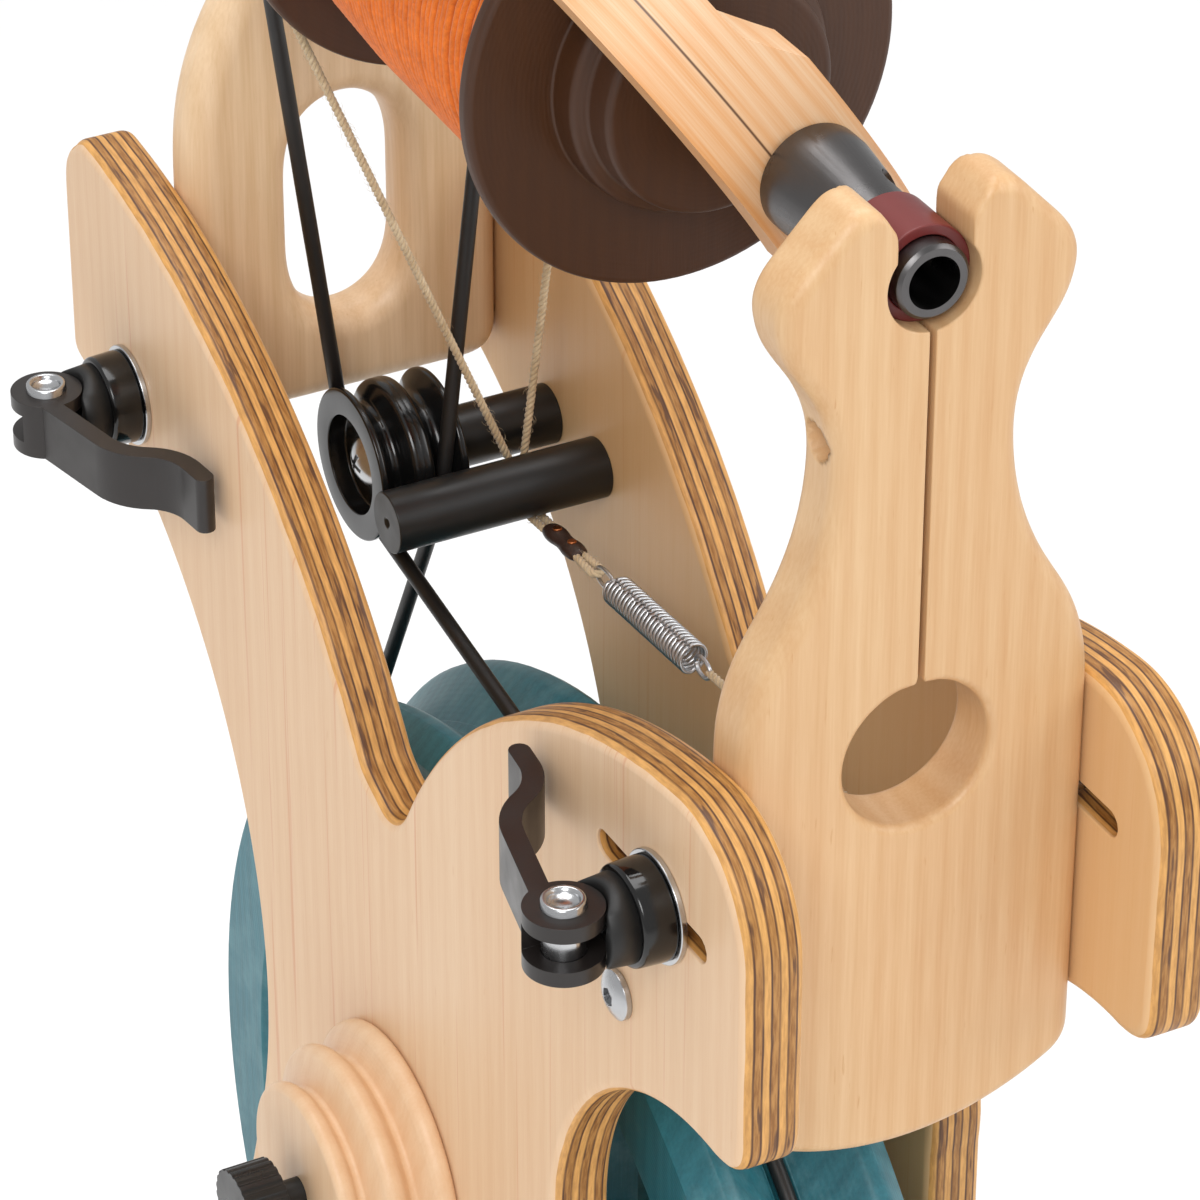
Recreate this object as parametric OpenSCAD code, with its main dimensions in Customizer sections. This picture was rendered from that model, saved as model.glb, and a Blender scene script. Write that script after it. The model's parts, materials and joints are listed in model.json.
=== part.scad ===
// Travel spinning wheel: a folding double-treadle wheel with a belt turned a quarter over idlers.
// Millimetres. +X right, +Y back, +Z up. The origin is on the floor under the middle of the object's box.
// Inside the modules, Y is counted from the wheel's axle; place() moves each sub-part to the origin.

/* [Frame] */
// clear width between the side panels
gap_w = 86; // [82:1:92]
// thickness of the plywood side panels
panel_t = 15; // [12:0.5:18]
// height of the wheel's axle above the floor
axle_z = 250; // [246:1:256]
// height of the rubber feet
foot_h = 8; // [5:0.5:10]
// diameter of the round spreaders
spreader_d = 16; // [12:0.5:17]
// diameter of the frame bolts' heads
bolt_head_d = 12; // [10:0.5:14]
// diameter of the frame bolts
bolt_d = 6; // [5:0.5:7]

/* [Wheel] */
// outer radius of the drive wheel
wheel_r = 170; // [164:1:172]
// width of the wheel's rim
rim_w = 52; // [46:1:54]
// number of spokes
spoke_n = 5; // [4:1:6]
// width of a spoke
spoke_w = 30; // [24:1:36]
// diameter of the wheel's axle
axle_d = 12; // [10:0.5:13]
// outer diameter of the wheel's bearings
bearing_d = 28; // [26:0.5:30]
// width of the wheel's bearings
bearing_w = 8; // [7:0.5:9]
// crank radius
crank_r = 24; // [20:0.5:26]
// diameter of the crank pins
crank_pin_d = 8; // [6:0.5:9]

/* [Maidens] */
// thickness of the front maiden
front_t = 16; // [14:0.5:18]
// thickness of the rear maiden
rear_t = 17; // [15:0.5:18]
// front face of the front maiden
front_y = -161; // [-163:0.5:-160]
// front face of the rear maiden
rear_y = 124; // [123:0.5:127]
// side clearance of the maidens between the panels
maiden_gap = 0.3; // [0.25:0.05:0.5]
// radius of the front maiden's round hole
maiden_hole_r = 18; // [14:0.5:19]
// width of the saw slit in the front maiden
slit_w = 1.6; // [1.2:0.1:2.4]
// width of the rear maiden's handle hole
handle_w = 31; // [26:0.5:34]
// height of the rear maiden's handle hole
handle_h = 64; // [54:1:68]
// flyer axis above the wheel's axle
flyer_rise = 386; // [382:1:392]

/* [Clamps] */
// diameter of the clamp rods
clamp_rod_d = 5; // [4:0.5:6]
// diameter of the clamp cups
cup_d = 24; // [20:0.5:26]
// length of the clamp cups
cup_l = 12; // [9:0.5:14]
// thickness of the clamp washers
washer_t = 1.5; // [1:0.1:2]
// diameter of the cross barrels
barrel_d = 10; // [8:0.5:11]
// width of the clamp levers
lever_w = 15; // [12:0.5:18]
// thickness of the clamp levers' arms
lever_arm_t = 5; // [4:0.5:6]

/* [Flyer and bobbin] */
// turn of the flyer at rest, from upright
flyer_turn = 34; // [0:1:60]
// outer diameter of the orifice tube
tube_d = 17; // [15:0.5:18]
// bore of the orifice tube
orifice_d = 12; // [9:0.5:12.5]
// outer diameter of the orifice bush
bush_d = 22; // [21:0.5:24]
// diameter of the flyer's shaft
shaft_d = 8; // [7:0.5:9]
// inner half width of the flyer's yoke
yoke_r = 58; // [57:0.5:62]
// thickness of the yoke's bent lamination
yoke_t = 14; // [12:0.5:16]
// width of the yoke's arms
yoke_w = 22; // [19:0.5:26]
// radius of the bobbin's flanges
flange_r = 52.5; // [50:0.5:54]
// thickness of the bobbin's flanges
flange_t = 5; // [4:0.5:6]
// radius of the bobbin's core
core_r = 16; // [14:0.5:20]
// radius of the wound yarn
yarn_r = 45; // [36:0.5:47]
// radius of the whorl's large groove
whorl_r = 33; // [30:0.5:35]

/* [Idlers and brake] */
// diameter of the idler post and the brake rod
rod_d = 16; // [14:0.5:17]
// diameter of the idlers' spindle
spindle_d = 8; // [7:0.5:9]
// outer diameter of the idler pulleys
idler_d = 40; // [36:0.5:42]
// groove radius of the idler pulleys
idler_groove_r = 14.5; // [13:0.5:15.5]
// width of an idler pulley
idler_w = 12; // [11.5:0.5:13]
// diameter of the drive belt
belt_d = 4; // [3.6:0.1:4.4]
// diameter of the brake cord
cord_d = 2; // [1.6:0.1:2.2]
// wire of the brake spring
spring_wire = 1; // [0.9:0.05:1.1]
// coil radius of the brake spring, to the wire's middle
spring_r = 3.4; // [3:0.1:4.2]
// number of curls of the brake spring
spring_n = 25; // [18:1:26]

/* [Treadles] */
// length of a treadle board
treadle_l = 156; // [130:1:158]
// width of a treadle board
treadle_w = 105; // [90:1:115]
// thickness of a treadle board
treadle_t = 14; // [12:0.5:16]
// thickness of the treadle levers
tlever_t = 10; // [8:0.5:11]
// diameter of the treadle axle
taxle_d = 10; // [8:0.5:12]
// diameter of the treadle hinge pins
tpin_d = 6; // [5:0.5:7]
// diameter of the footmen
footman_d = 8; // [7:0.5:9]

/* [Spare whorl] */
// height of the spare whorl's peg above the axle
spare_rise = 82; // [80:1:88]
// diameter of the peg
peg_d = 8; // [7:0.5:9]
// radius of the spare whorl's large flange
spare_r = 37; // [32:0.5:40]

/* [Hidden] */
$fn = 64;

// running clearance of a shaft in its hole, on the radius
run_gap = 0.05;
// gap between seated pieces of one body
seat_gap = 0.02;
// gap between pieces that pass each other
pass_gap = 0.3;
// panel faces
xi = gap_w / 2;
xo = xi + panel_t;
// flyer axis
fz = axle_z + flyer_rise;
// maidens
fm_mid = front_y + front_t / 2;
rm_mid = rear_y + rear_t / 2;
maiden_half = xi - maiden_gap;
fclamp_z = axle_z + 246;
rclamp_z = axle_z + 223;
slot_front = front_y - 13;
slot_back = front_y + 37;
clamp_gap = 0.2;
// spreaders: front one behind the front maiden, two low ones clear of the wheel's rim
low_in = 57;
low_up = 18;
spread_front = [front_y + front_t + 2 + spreader_d / 2, axle_z + 211];
spread_low_f = [low_in - wheel_r, axle_z + low_up - wheel_r];
spread_low_r = [wheel_r - low_in + 2, axle_z - wheel_r - 10];
// rods on the right panel
idler_y = 98.4;
idler_z = axle_z + 208;
// brake cord's middle from the rod's axis
cord_c = rod_d / 2 + cord_d / 2 + 0.1;
brake_y = 70.3;
brake_z = axle_z + 207;
brake_end_x = -16.5;
// treadles
tpiv_y = -95;
tpiv_z = 52;
tarm = 115;
tpin_y = -212;
tpin_z = 60;
tlever_x = xi - 1 - tlever_t;
foot_x = tlever_x + tlever_t / 2;

// helpers
// the origin is under the middle of the object's box, between the treadles' tips and the shoulders
shoulder_y = 172;
treadle_back = 10;
place_y = -(tpin_y + treadle_back - treadle_l + shoulder_y) / 2;

module place() {
  translate([0, place_y, 0]) children();
}

function unit(v) = v / norm(v);
function tnorm(a, ra, b, rb, side) = let (d = b - a, l = norm(d), u = d / l, s = (ra - rb) / l)
  s * u + side * sqrt(1 - s * s) * [-u[1], u[0]];

// two circles and the straight edges that touch both
module link2d(a, ra, b, rb) {
  n1 = tnorm(a, ra, b, rb, 1);
  n2 = tnorm(a, ra, b, rb, -1);
  translate(a) circle(r = ra);
  translate(b) circle(r = rb);
  polygon([a + ra * n1, b + rb * n1, b + rb * n2, a + ra * n2]);
}

// outline drawn in (Y, Z), given a thickness along X from x0
module plate_x(x0, t) {
  translate([x0, 0, 0]) rotate([90, 0, 90]) linear_extrude(t) children();
}

// outline drawn in (X, Z), given a thickness along Y from y0
module plate_y(y0, t) {
  translate([0, y0 + t, 0]) rotate([90, 0, 0]) linear_extrude(t) children();
}

// profile of (radius, position) turned about the X axis
module turn_x(y, z) {
  translate([0, y, z]) rotate([0, 90, 0]) rotate_extrude($fn = 96) children();
}

// profile of (radius, position) turned about the flyer axis, positions along +Y
module turn_y() {
  translate([0, 0, fz]) rotate([-90, 0, 0]) rotate_extrude($fn = 96) children();
}

module rod_x(y, z, x0, x1, d) {
  translate([x0, y, z]) rotate([0, 90, 0]) cylinder(d = d, h = x1 - x0);
}

module rod_z(x, y, z0, z1, d) {
  translate([x, y, z0]) cylinder(d = d, h = z1 - z0);
}

// tube swept along points; each ring is turned by its reference direction
module tube(pts, refs, r, sides, closed) {
  n = len(pts);
  last = closed ? n : n - 1;
  rings = [for (i = [0:n - 1]) let (
    a = closed ? pts[(i + n - 1) % n] : pts[max(i - 1, 0)],
    b = closed ? pts[(i + 1) % n] : pts[min(i + 1, n - 1)],
    t = unit(b - a), e = unit(refs[i] - (refs[i] * t) * t), f = cross(t, e))
    for (k = [0:sides - 1]) pts[i] + r * (cos(360 * k / sides) * e + sin(360 * k / sides) * f)];
  skin = [for (i = [0:last - 1]) for (k = [0:sides - 1]) let (
    p = i * sides + k, q = i * sides + (k + 1) % sides,
    u = ((i + 1) % n) * sides + k, v = ((i + 1) % n) * sides + (k + 1) % sides)
    each [[p, u, q], [q, u, v]]];
  head = [for (k = [1:sides - 2]) [0, k, k + 1]];
  tail = [for (k = [1:sides - 2]) [(n - 1) * sides, (n - 1) * sides + k + 1, (n - 1) * sides + k]];
  polyhedron(points = rings, faces = closed ? skin : concat(skin, head, tail));
}

// side panels
hump_r = [[173.4, axle_z + 76.1], 207.3];
hump_f = [[-174.4, axle_z + 107.5], 171.6];
nose = [[-162.5, axle_z + 250], 28.5];
back_cut = [[197.9, axle_z + 83], 135.4];
beak_cut = [[-174.6, axle_z + 122.8], 72.6];
front_cut = [[-502, axle_z], 400];
cleft = [[-14, axle_z + 193], 10];
leg_join = 40;
leg_join_y = back_cut[0][0] - sqrt(pow(back_cut[1], 2) - pow(back_cut[0][1] - axle_z - leg_join, 2));
arch_h = 34;
arch_r = 160;

module disc2d(c) {
  translate(c[0]) circle(r = c[1], $fn = 160);
}

module panel_2d() {
  difference() {
    union() {
      intersection() {
        disc2d(hump_r);
        union() {
          translate([cleft[0][0], axle_z + 60]) square([shoulder_y - 10 - cleft[0][0], 240]);
          translate([0, axle_z + 60]) square([shoulder_y, 208]);
          translate([shoulder_y - 12, axle_z + 268]) circle(r = 12);
        }
      }
      intersection() {
        disc2d(hump_f);
        union() {
          translate([nose[0][0], axle_z + 110]) square([cleft[0][0] - nose[0][0], 180]);
          disc2d(nose);
          translate([nose[0][0] - nose[1], axle_z + 204]) square([nose[1] + 1, 46]);
          translate([nose[0][0] - nose[1] + 8, axle_z + 190]) square([nose[1], 16]);
          translate([nose[0][0] - nose[1] + 8, axle_z + 204]) circle(r = 8);
        }
      }
      translate([-28, axle_z + 120]) square([27, 67]);
      polygon([[-102, axle_z + 150], [-102, axle_z], [-165, axle_z], [-165, foot_h], [155, foot_h],
        [155, foot_h + 26], [leg_join_y, axle_z + leg_join], [shoulder_y, axle_z + leg_join],
        [shoulder_y, axle_z + 150]]);
    }
    disc2d(back_cut);
    disc2d(beak_cut);
    intersection() {
      disc2d(front_cut);
      translate([-300, 0]) square([300, axle_z]);
    }
    disc2d(cleft);
    translate([cleft[0][0] - cleft[1], cleft[0][1]]) square([2 * cleft[1], 140]);
    translate([-5, foot_h + arch_h - arch_r]) circle(r = arch_r, $fn = 160);
    slot_2d();
    translate([rm_mid, rclamp_z]) circle(d = clamp_rod_d + 2 * clamp_gap);
    for (p = [spread_front, spread_low_f, spread_low_r]) translate(p) circle(d = bolt_d + 0.2);
    translate([tpiv_y, tpiv_z]) circle(d = taxle_d + 2 * seat_gap);
    translate([0, axle_z]) circle(d = axle_d + 6);
  }
}

module slot_2d() {
  w = clamp_rod_d + 2 * clamp_gap + 1;
  translate([slot_front + w / 2, fclamp_z - w / 2]) square([slot_back - slot_front - w, w]);
  translate([slot_front + w / 2, fclamp_z]) circle(d = w);
  translate([slot_back - w / 2, fclamp_z]) circle(d = w);
}

module bearing_pocket() {
  rod_x(0, axle_z, -xi - bearing_w - seat_gap, xi + bearing_w + seat_gap, bearing_d + 2 * seat_gap);
}

module side_panel_left() {
  color("BurlyWood") place() difference() {
    plate_x(-xo, panel_t) panel_2d();
    bearing_pocket();
    rod_x(spare_y, axle_z + spare_rise, -xo - 1, -xo + 11, peg_d + 2 * seat_gap);
  }
}

module side_panel_right() {
  color("BurlyWood") place() difference() {
    plate_x(xi, panel_t) panel_2d();
    bearing_pocket();
    rod_x(idler_y, idler_z, xi - 1, xo + 1, bolt_d + 0.2);
    rod_x(brake_y, brake_z, xi - 1, xo + 1, bolt_d + 0.2);
  }
}

// how far a bolt reaches into a rod or spreader
bolt_grip = 13;

// spreaders between the panels
module spreader(p) {
  difference() {
    rod_x(p[0], p[1], -xi + seat_gap, xi - seat_gap, spreader_d);
    for (s = [-1, 1]) translate([s * xi, p[0], p[1]]) rotate([0, 90, 0])
      cylinder(d = bolt_d + 0.1, h = 2 * (bolt_grip + 1), center = true);
  }
}

module front_spreader() {
  color("BurlyWood") place() difference() {
    spreader(spread_front);
    translate([brake_x, spread_front[0], spread_front[1]]) rotate([-90, 0, 0])
      cylinder(d = eye_wire - 0.6 + 2 * seat_gap, h = spreader_d);
  }
}

module lower_spreaders() {
  color("BurlyWood") place() {
    spreader(spread_low_f);
    spreader(spread_low_r);
  }
}

// button-head bolts, the same for spreaders and rods
module bolt(p, s, l) {
  translate([s * (xo + seat_gap), p[0], p[1]]) rotate([0, s * 90, 0]) difference() {
    union() {
      intersection() {
        cylinder(d = bolt_head_d, h = 3.4);
        translate([0, 0, 3.4 - bolt_head_d * 0.85]) sphere(d = bolt_head_d * 1.7);
      }
      translate([0, 0, -l]) cylinder(d = bolt_d, h = l + 1);
    }
    translate([0, 0, 1.4]) cylinder(d = 4.6, h = 4, $fn = 6);
  }
}

module frame_bolts() {
  color("Silver") place() {
    for (p = [spread_front, spread_low_f, spread_low_r]) for (s = [-1, 1]) bolt(p, s, panel_t + bolt_grip);
    for (p = [[idler_y, idler_z], [brake_y, brake_z]]) bolt(p, 1, panel_t + bolt_grip);
  }
}

module rubber_feet() {
  color("DimGray") place() for (s = [-1, 1]) for (y = [-143, 132]) translate([s * (xi + panel_t / 2), y, 0])
    translate([-panel_t / 2, -20, 0]) cube([panel_t, 40, foot_h - seat_gap]);
}

// drive wheel
hub_r = 34;
hub_half = rim_w / 2 - 2;
web_half = 10;
groove_r = wheel_r - 11.5;
groove_gap = 0.3;
// the belt leaves this groove sideways to the idlers, so it is wider than the belt
groove_play = 1.2;
wheel_belt_r = groove_r;

module wheel_profile() {
  r = wheel_r;
  w = rim_w / 2;
  half = [[hub_r, hub_half], [hub_r + 3, web_half], [r - 38, web_half], [r - 32, w - 3], [r - 29, w],
    [r - 7, w], [r - 1, w - 5], [r, w - 6.5], [r, w - 9], [r - 1.2, w - 11], [groove_r - 0.6, 3.2]];
  n = len(half);
  polygon(concat([[axle_d / 2 + seat_gap, -hub_half], [axle_d / 2 + seat_gap, hub_half]], half,
    [for (i = [1:n]) [half[n - i][0], -half[n - i][1]]]));
}

module spoke_gaps() {
  difference() {
    circle(r = wheel_r - 44, $fn = 160);
    circle(r = hub_r + 12, $fn = 96);
    for (i = [0:spoke_n - 1]) rotate(360 * i / spoke_n + 18) translate([0, -spoke_w / 2])
      square([wheel_r, spoke_w]);
  }
}

module drive_wheel() {
  color("Teal") place() difference() {
    turn_x(0, axle_z) wheel_profile();
    turn_x(0, axle_z) translate([wheel_belt_r + groove_play, 0])
      circle(d = belt_d + 2 * (groove_gap + groove_play), $fn = 32);
    plate_x(-rim_w, 2 * rim_w) translate([0, axle_z]) spoke_gaps();
    for (s = [-1, 1]) rod_x(s * crank_r, axle_z, s > 0 ? 12 : -hub_half - 1, s > 0 ? hub_half + 1 : -12,
      crank_pin_d + 2 * seat_gap);
  }
}

module axle_bearings() {
  color("Silver") place() for (s = [-1, 1]) difference() {
    rod_x(0, axle_z, s > 0 ? xi + seat_gap : -xi - bearing_w,
      s > 0 ? xi + bearing_w : -xi - seat_gap, bearing_d);
    rod_x(0, axle_z, -xo, xo, axle_d + 2 * run_gap);
  }
}

// turned axle with shoulders between the hub and the bearings
module wheel_axle() {
  color("Silver") place() {
    rod_x(0, axle_z, -xo + 1, xo - 1, axle_d);
    for (s = [-1, 1]) rod_x(0, axle_z, s > 0 ? hub_half + seat_gap : -xi + pass_gap,
      s > 0 ? xi - pass_gap : -hub_half - seat_gap, axle_d + 4);
  }
}

crank_end = foot_x - footman_d / 2 - 0.5;

module crank_pins() {
  color("Silver") place() {
    rod_x(-crank_r, axle_z, -crank_end, -12 - seat_gap, crank_pin_d);
    rod_x(crank_r, axle_z, 12 + seat_gap, crank_end, crank_pin_d);
  }
}

// footmen: eye at the treadle lever, blind boss at the crank pin
boss_r = footman_d / 2 + 6;
tongue_t = 4;

module footman(s) {
  a = [tpiv_y + tarm, tpiv_z];
  b = [s * crank_r, axle_z];
  l = norm(b - a);
  t = atan2(b[1] - a[1], b[0] - a[0]);
  difference() {
    union() {
      plate_x(s * foot_x - footman_d / 2, footman_d) translate(b) circle(r = boss_r);
      translate([s * foot_x, a[0], a[1]]) rotate([t - 90, 0, 0]) translate([0, 0, 22])
        cylinder(d = footman_d, h = l - 22);
      plate_x(s * foot_x - tongue_t / 2, tongue_t) translate(a) rotate(t) link2d([0, 0], 7, [26, 0], 3.6);
    }
    rod_x(a[0], a[1], s * foot_x - 10, s * foot_x + 10, 5 + 2 * run_gap);
    translate([s * foot_x - s * (footman_d / 2), b[0], b[1]]) rotate([0, s * 90, 0])
      cylinder(d = crank_pin_d + 2, h = footman_d - 2.5);
  }
}

module footman_left() {
  color("BurlyWood") place() footman(-1);
}

module footman_right() {
  color("BurlyWood") place() footman(1);
}

module footman_pin(s) {
  color("Silver") place() rod_x(tpiv_y + tarm, tpiv_z, s * foot_x - tlever_t / 2, s * foot_x + tlever_t / 2, 5);
}

module footman_pin_left() {
  footman_pin(-1);
}

module footman_pin_right() {
  footman_pin(1);
}

module treadle_axle() {
  color("Silver") place() rod_x(tpiv_y, tpiv_z, -xo - 1.5, xo + 1.5, taxle_d);
}

// treadle lever: bar from the footman to the treadle's hinge, with a tongue under the board
module tlever_2d() {
  e = treadle_t / 2 - 0.4;
  under = tpin_z - treadle_t / 2 - pass_gap;
  translate([tpiv_y + tarm, tpiv_z]) circle(r = 11);
  translate([tpiv_y, tpiv_z]) circle(r = taxle_d / 2 + 9);
  translate([tpin_y, tpin_z]) circle(r = e);
  polygon([[tpiv_y + tarm, tpiv_z - 10.4], [tpiv_y + tarm, tpiv_z + 10.4], [tpiv_y, tpiv_z + 12.6],
    [tpin_y, tpin_z + e - 0.5], [tpin_y - e + 0.5, tpin_z], [tpin_y - 4.5, under], [tpin_y - 40, under],
    [tpin_y - 40, under - 13], [tpin_y + 20, under - 13], [tpiv_y, tpiv_z - 12.8]]);
}

module treadle_lever(s) {
  color("BurlyWood") place() difference() {
    plate_x(s * foot_x - tlever_t / 2, tlever_t) tlever_2d();
    rod_x(tpiv_y, tpiv_z, -xo, xo, taxle_d + 2 * run_gap);
    rod_x(tpin_y, tpin_z, -xo, xo, tpin_d + 2 * run_gap);
    rod_x(tpiv_y + tarm, tpiv_z, -xo, xo, 5 + 2 * seat_gap);
    plate_x(s * foot_x - tongue_t / 2 - pass_gap, tongue_t + 2 * pass_gap)
      translate([tpiv_y + tarm, tpiv_z]) {
        circle(r = 8.5);
        translate([-16, 0]) square([40, 30]);
        translate([0, -8.5]) square([20, 17]);
      }
  }
}

module treadle_lever_left() {
  treadle_lever(-1);
}

module treadle_lever_right() {
  treadle_lever(1);
}

treadle_in = 8;
corner_r = 16;

module treadle_2d() {
  y1 = tpin_y + treadle_back;
  y0 = y1 - treadle_l;
  difference() {
    union() {
      translate([treadle_in, y0 + corner_r]) square([treadle_w, treadle_l - corner_r]);
      translate([treadle_in + corner_r, y0]) square([treadle_w - 2 * corner_r, treadle_l]);
      for (x = [treadle_in + corner_r, treadle_in + treadle_w - corner_r]) translate([x, y0 + corner_r])
        circle(r = corner_r);
    }
    translate([foot_x - tlever_t / 2 - 0.6, tpin_y - treadle_t / 2 - 2]) square([tlever_t + 1.2, 60]);
  }
}

module treadle(s) {
  color("BurlyWood") place() mirror([s < 0 ? 1 : 0, 0, 0]) difference() {
    translate([0, 0, tpin_z - treadle_t / 2]) linear_extrude(treadle_t) treadle_2d();
    rod_x(tpin_y, tpin_z, foot_x - 24, foot_x + 24, tpin_d + 2 * seat_gap);
  }
}

module treadle_left() {
  treadle(-1);
}

module treadle_right() {
  treadle(1);
}

module treadle_pin(s) {
  color("Silver") place() rod_x(tpin_y, tpin_z, s * foot_x - 23, s * foot_x + 23, tpin_d);
}

module treadle_pin_left() {
  treadle_pin(-1);
}

module treadle_pin_right() {
  treadle_pin(1);
}

// edge that sways from the half width x1 at height z1 out to x0, on a hollow arc r1 and a round arc r0
sway_n = 8;
function sway(x0, r0, x1, r1, z1, up) = let (
  f = acos(1 - (x0 - x1) / (r0 + r1)), z0 = z1 + up * (r0 + r1) * sin(f))
  concat([for (i = [0:sway_n]) [x1 + r1 * (1 - cos(f * i / sway_n)), z1 + up * r1 * sin(f * i / sway_n)]],
    [for (i = [1:sway_n]) let (t = f * (1 - i / sway_n)) [x0 - r0 * (1 - cos(t)), z0 - up * r0 * sin(t)]]);
function bow(c, r, a0, a1) =
  [for (i = [0:sway_n]) c + r * [cos(mix(a0, a1, i / sway_n)), sin(mix(a0, a1, i / sway_n))]];
function after_first(p) = [for (i = [1:len(p) - 1]) p[i]];
function backwards(p) = [for (i = [1:len(p)]) p[len(p) - i]];
function both_sides(p) = concat(p, [for (q = backwards(p)) [-q[0], q[1]]]);

// front maiden: waisted board, two slanted horns round the open bearing seat, slit and round hole
neck_half = 21.6;
neck_z = fz - 39;
hip_r = 48;
waist_r = 72;
head_half = 35.5;
nape_r = 34;
cheek_r = 25;
low_z = axle_z + 181;
low_sag = 14;
low_r = (maiden_half * maiden_half + low_sag * low_sag) / (2 * low_sag);
low_c = [0, low_z - low_sag + low_r];
horn = [16, fz + 17];
horn_r = 4;
notch = [8.8, fz + 13];
shoulder_r = 8;
hole_z = axle_z + 271;
head_edge = sway(head_half, cheek_r, neck_half, nape_r, neck_z, 1);
shoulder = head_edge[len(head_edge) - 1] - [shoulder_r, 0];
horn_out = tnorm(shoulder, shoulder_r, horn, horn_r, -1);
horn_in = tnorm(notch, 0, horn, horn_r, 1);
horn_a0 = atan2(horn_out[1], horn_out[0]);
horn_a1 = atan2(horn_in[1], horn_in[0]);
maiden_edge = concat(after_first(bow(low_c, low_r, 270, 270 + asin(maiden_half / low_r))),
  backwards(sway(maiden_half, hip_r, neck_half, waist_r, neck_z, -1)), after_first(head_edge),
  after_first(bow(shoulder, shoulder_r, 0, horn_a0)), bow(horn, horn_r, horn_a0, horn_a1),
  [notch, [notch[0], fz]]);

module front_maiden_2d() {
  difference() {
    polygon(concat([[0, low_z - low_sag]], both_sides(maiden_edge)));
    translate([0, fz]) circle(d = bush_d + 2 * seat_gap);
    translate([-slit_w / 2, hole_z]) square([slit_w, fz - hole_z]);
    translate([0, hole_z]) circle(r = maiden_hole_r);
  }
}

module front_maiden() {
  color("BurlyWood") place() difference() {
    plate_y(front_y, front_t) front_maiden_2d();
    rod_x(fm_mid, fclamp_z, -xo, xo, clamp_rod_d + 2 * seat_gap);
    rod_x(fm_mid, neck_z + 4, -xi, -neck_half + 9, 8);
  }
}

bush_0 = front_y + 5;
bush_l = front_t;

module orifice_bush() {
  color("Maroon") place() translate([0, 0, fz]) rotate([-90, 0, 0]) translate([0, 0, bush_0]) difference() {
    cylinder(d = bush_d, h = bush_l);
    translate([0, 0, -1]) cylinder(d = tube_d + 2 * run_gap, h = bush_l + 2);
  }
}

// rear maiden: bottle-shaped board with the handle hole and the flyer's rear bearing
rear_neck_half = 21;
rear_neck_z = fz - 34.4;
rear_hip_r = 80;
rear_waist_r = 30;
rear_low = rclamp_z - 11;
handle_z = axle_z + 266;
rear_bush_d = 18;
rear_edge = concat([[maiden_half, rear_low]],
  backwards(sway(maiden_half, rear_hip_r, rear_neck_half, rear_waist_r, rear_neck_z, -1)),
  [[rear_neck_half, fz]]);

module rear_maiden_2d() {
  difference() {
    union() {
      polygon(both_sides(rear_edge));
      translate([0, fz]) circle(r = rear_neck_half + 1);
    }
    translate([0, fz]) circle(d = rear_bush_d + 2 * seat_gap);
    for (s = [-1, 1]) translate([0, handle_z + s * (handle_h - handle_w) / 2]) circle(d = handle_w);
    translate([-handle_w / 2, handle_z - (handle_h - handle_w) / 2]) square([handle_w, handle_h - handle_w]);
  }
}

module rear_maiden() {
  color("BurlyWood") place() difference() {
    plate_y(rear_y, rear_t) rear_maiden_2d();
    rod_x(rm_mid, rclamp_z, -xo, xo, clamp_rod_d + 2 * run_gap);
  }
}

module rear_bush() {
  color("Maroon") place() translate([0, 0, fz]) rotate([-90, 0, 0]) translate([0, 0, rear_y]) difference() {
    cylinder(d = rear_bush_d, h = rear_t);
    translate([0, 0, -1]) cylinder(d = shaft_d + 2 * shaft_gap, h = rear_t + 2);
  }
}

// quick-release clamps; local +X points from the barrel to the panel, the barrel stands along Z
cam_r = 9;
barrel_x = -xo - washer_t - cup_l - cam_r - pass_gap;
barrel_l = lever_w + 4;
nut_l = 11;

module clamp_washer(y, z) {
  color("Silver") place() difference() {
    rod_x(y, z, -xo - washer_t, -xo - seat_gap, cup_d + 2);
    rod_x(y, z, -xo - 5, -xo + 5, clamp_rod_d + 2 * seat_gap);
  }
}

module clamp_cup(y, z) {
  x1 = -xo - washer_t - seat_gap;
  color("DimGray") place() difference() {
    union() {
      rod_x(y, z, x1 - cup_l * 0.62, x1, cup_d);
      turn_x(y, z) polygon([[0, x1 - cup_l], [cup_d / 2 - 3, x1 - cup_l], [cup_d / 2 - 1, x1 - cup_l * 0.62],
        [cup_d / 2, x1 - cup_l * 0.6], [cup_d / 2, x1], [0, x1]]);
    }
    rod_x(y, z, x1 - 2 * cup_l, x1 + 1, clamp_rod_d + 2 * seat_gap);
    rod_x(y, z, x1 - cup_l - 1, x1 - cup_l + 1.6, cup_d - 9);
  }
}

module clamp_barrel(y, z) {
  color("Silver") place() difference() {
    rod_z(barrel_x, y, z - barrel_l / 2, z + barrel_l / 2, barrel_d);
    rod_x(y, z, barrel_x - barrel_d, barrel_x + barrel_d, clamp_rod_d + 2 * seat_gap);
  }
}

module clamp_rod(y, z) {
  color("Silver") place() rod_x(y, z, barrel_x - barrel_d / 2 + 1.2, xo + nut_l + 1, clamp_rod_d);
}

module clamp_nut(y, z) {
  x0 = xo + seat_gap;
  color("DimGray") place() difference() {
    turn_x(y, z) polygon([[0, x0], [9, x0], [9, x0 + nut_l * 0.5], [7, x0 + nut_l * 0.8],
      [6, x0 + nut_l], [0, x0 + nut_l]]);
    rod_x(y, z, x0 - 1, x0 + 2 * nut_l, clamp_rod_d + 2 * seat_gap);
  }
}

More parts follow.
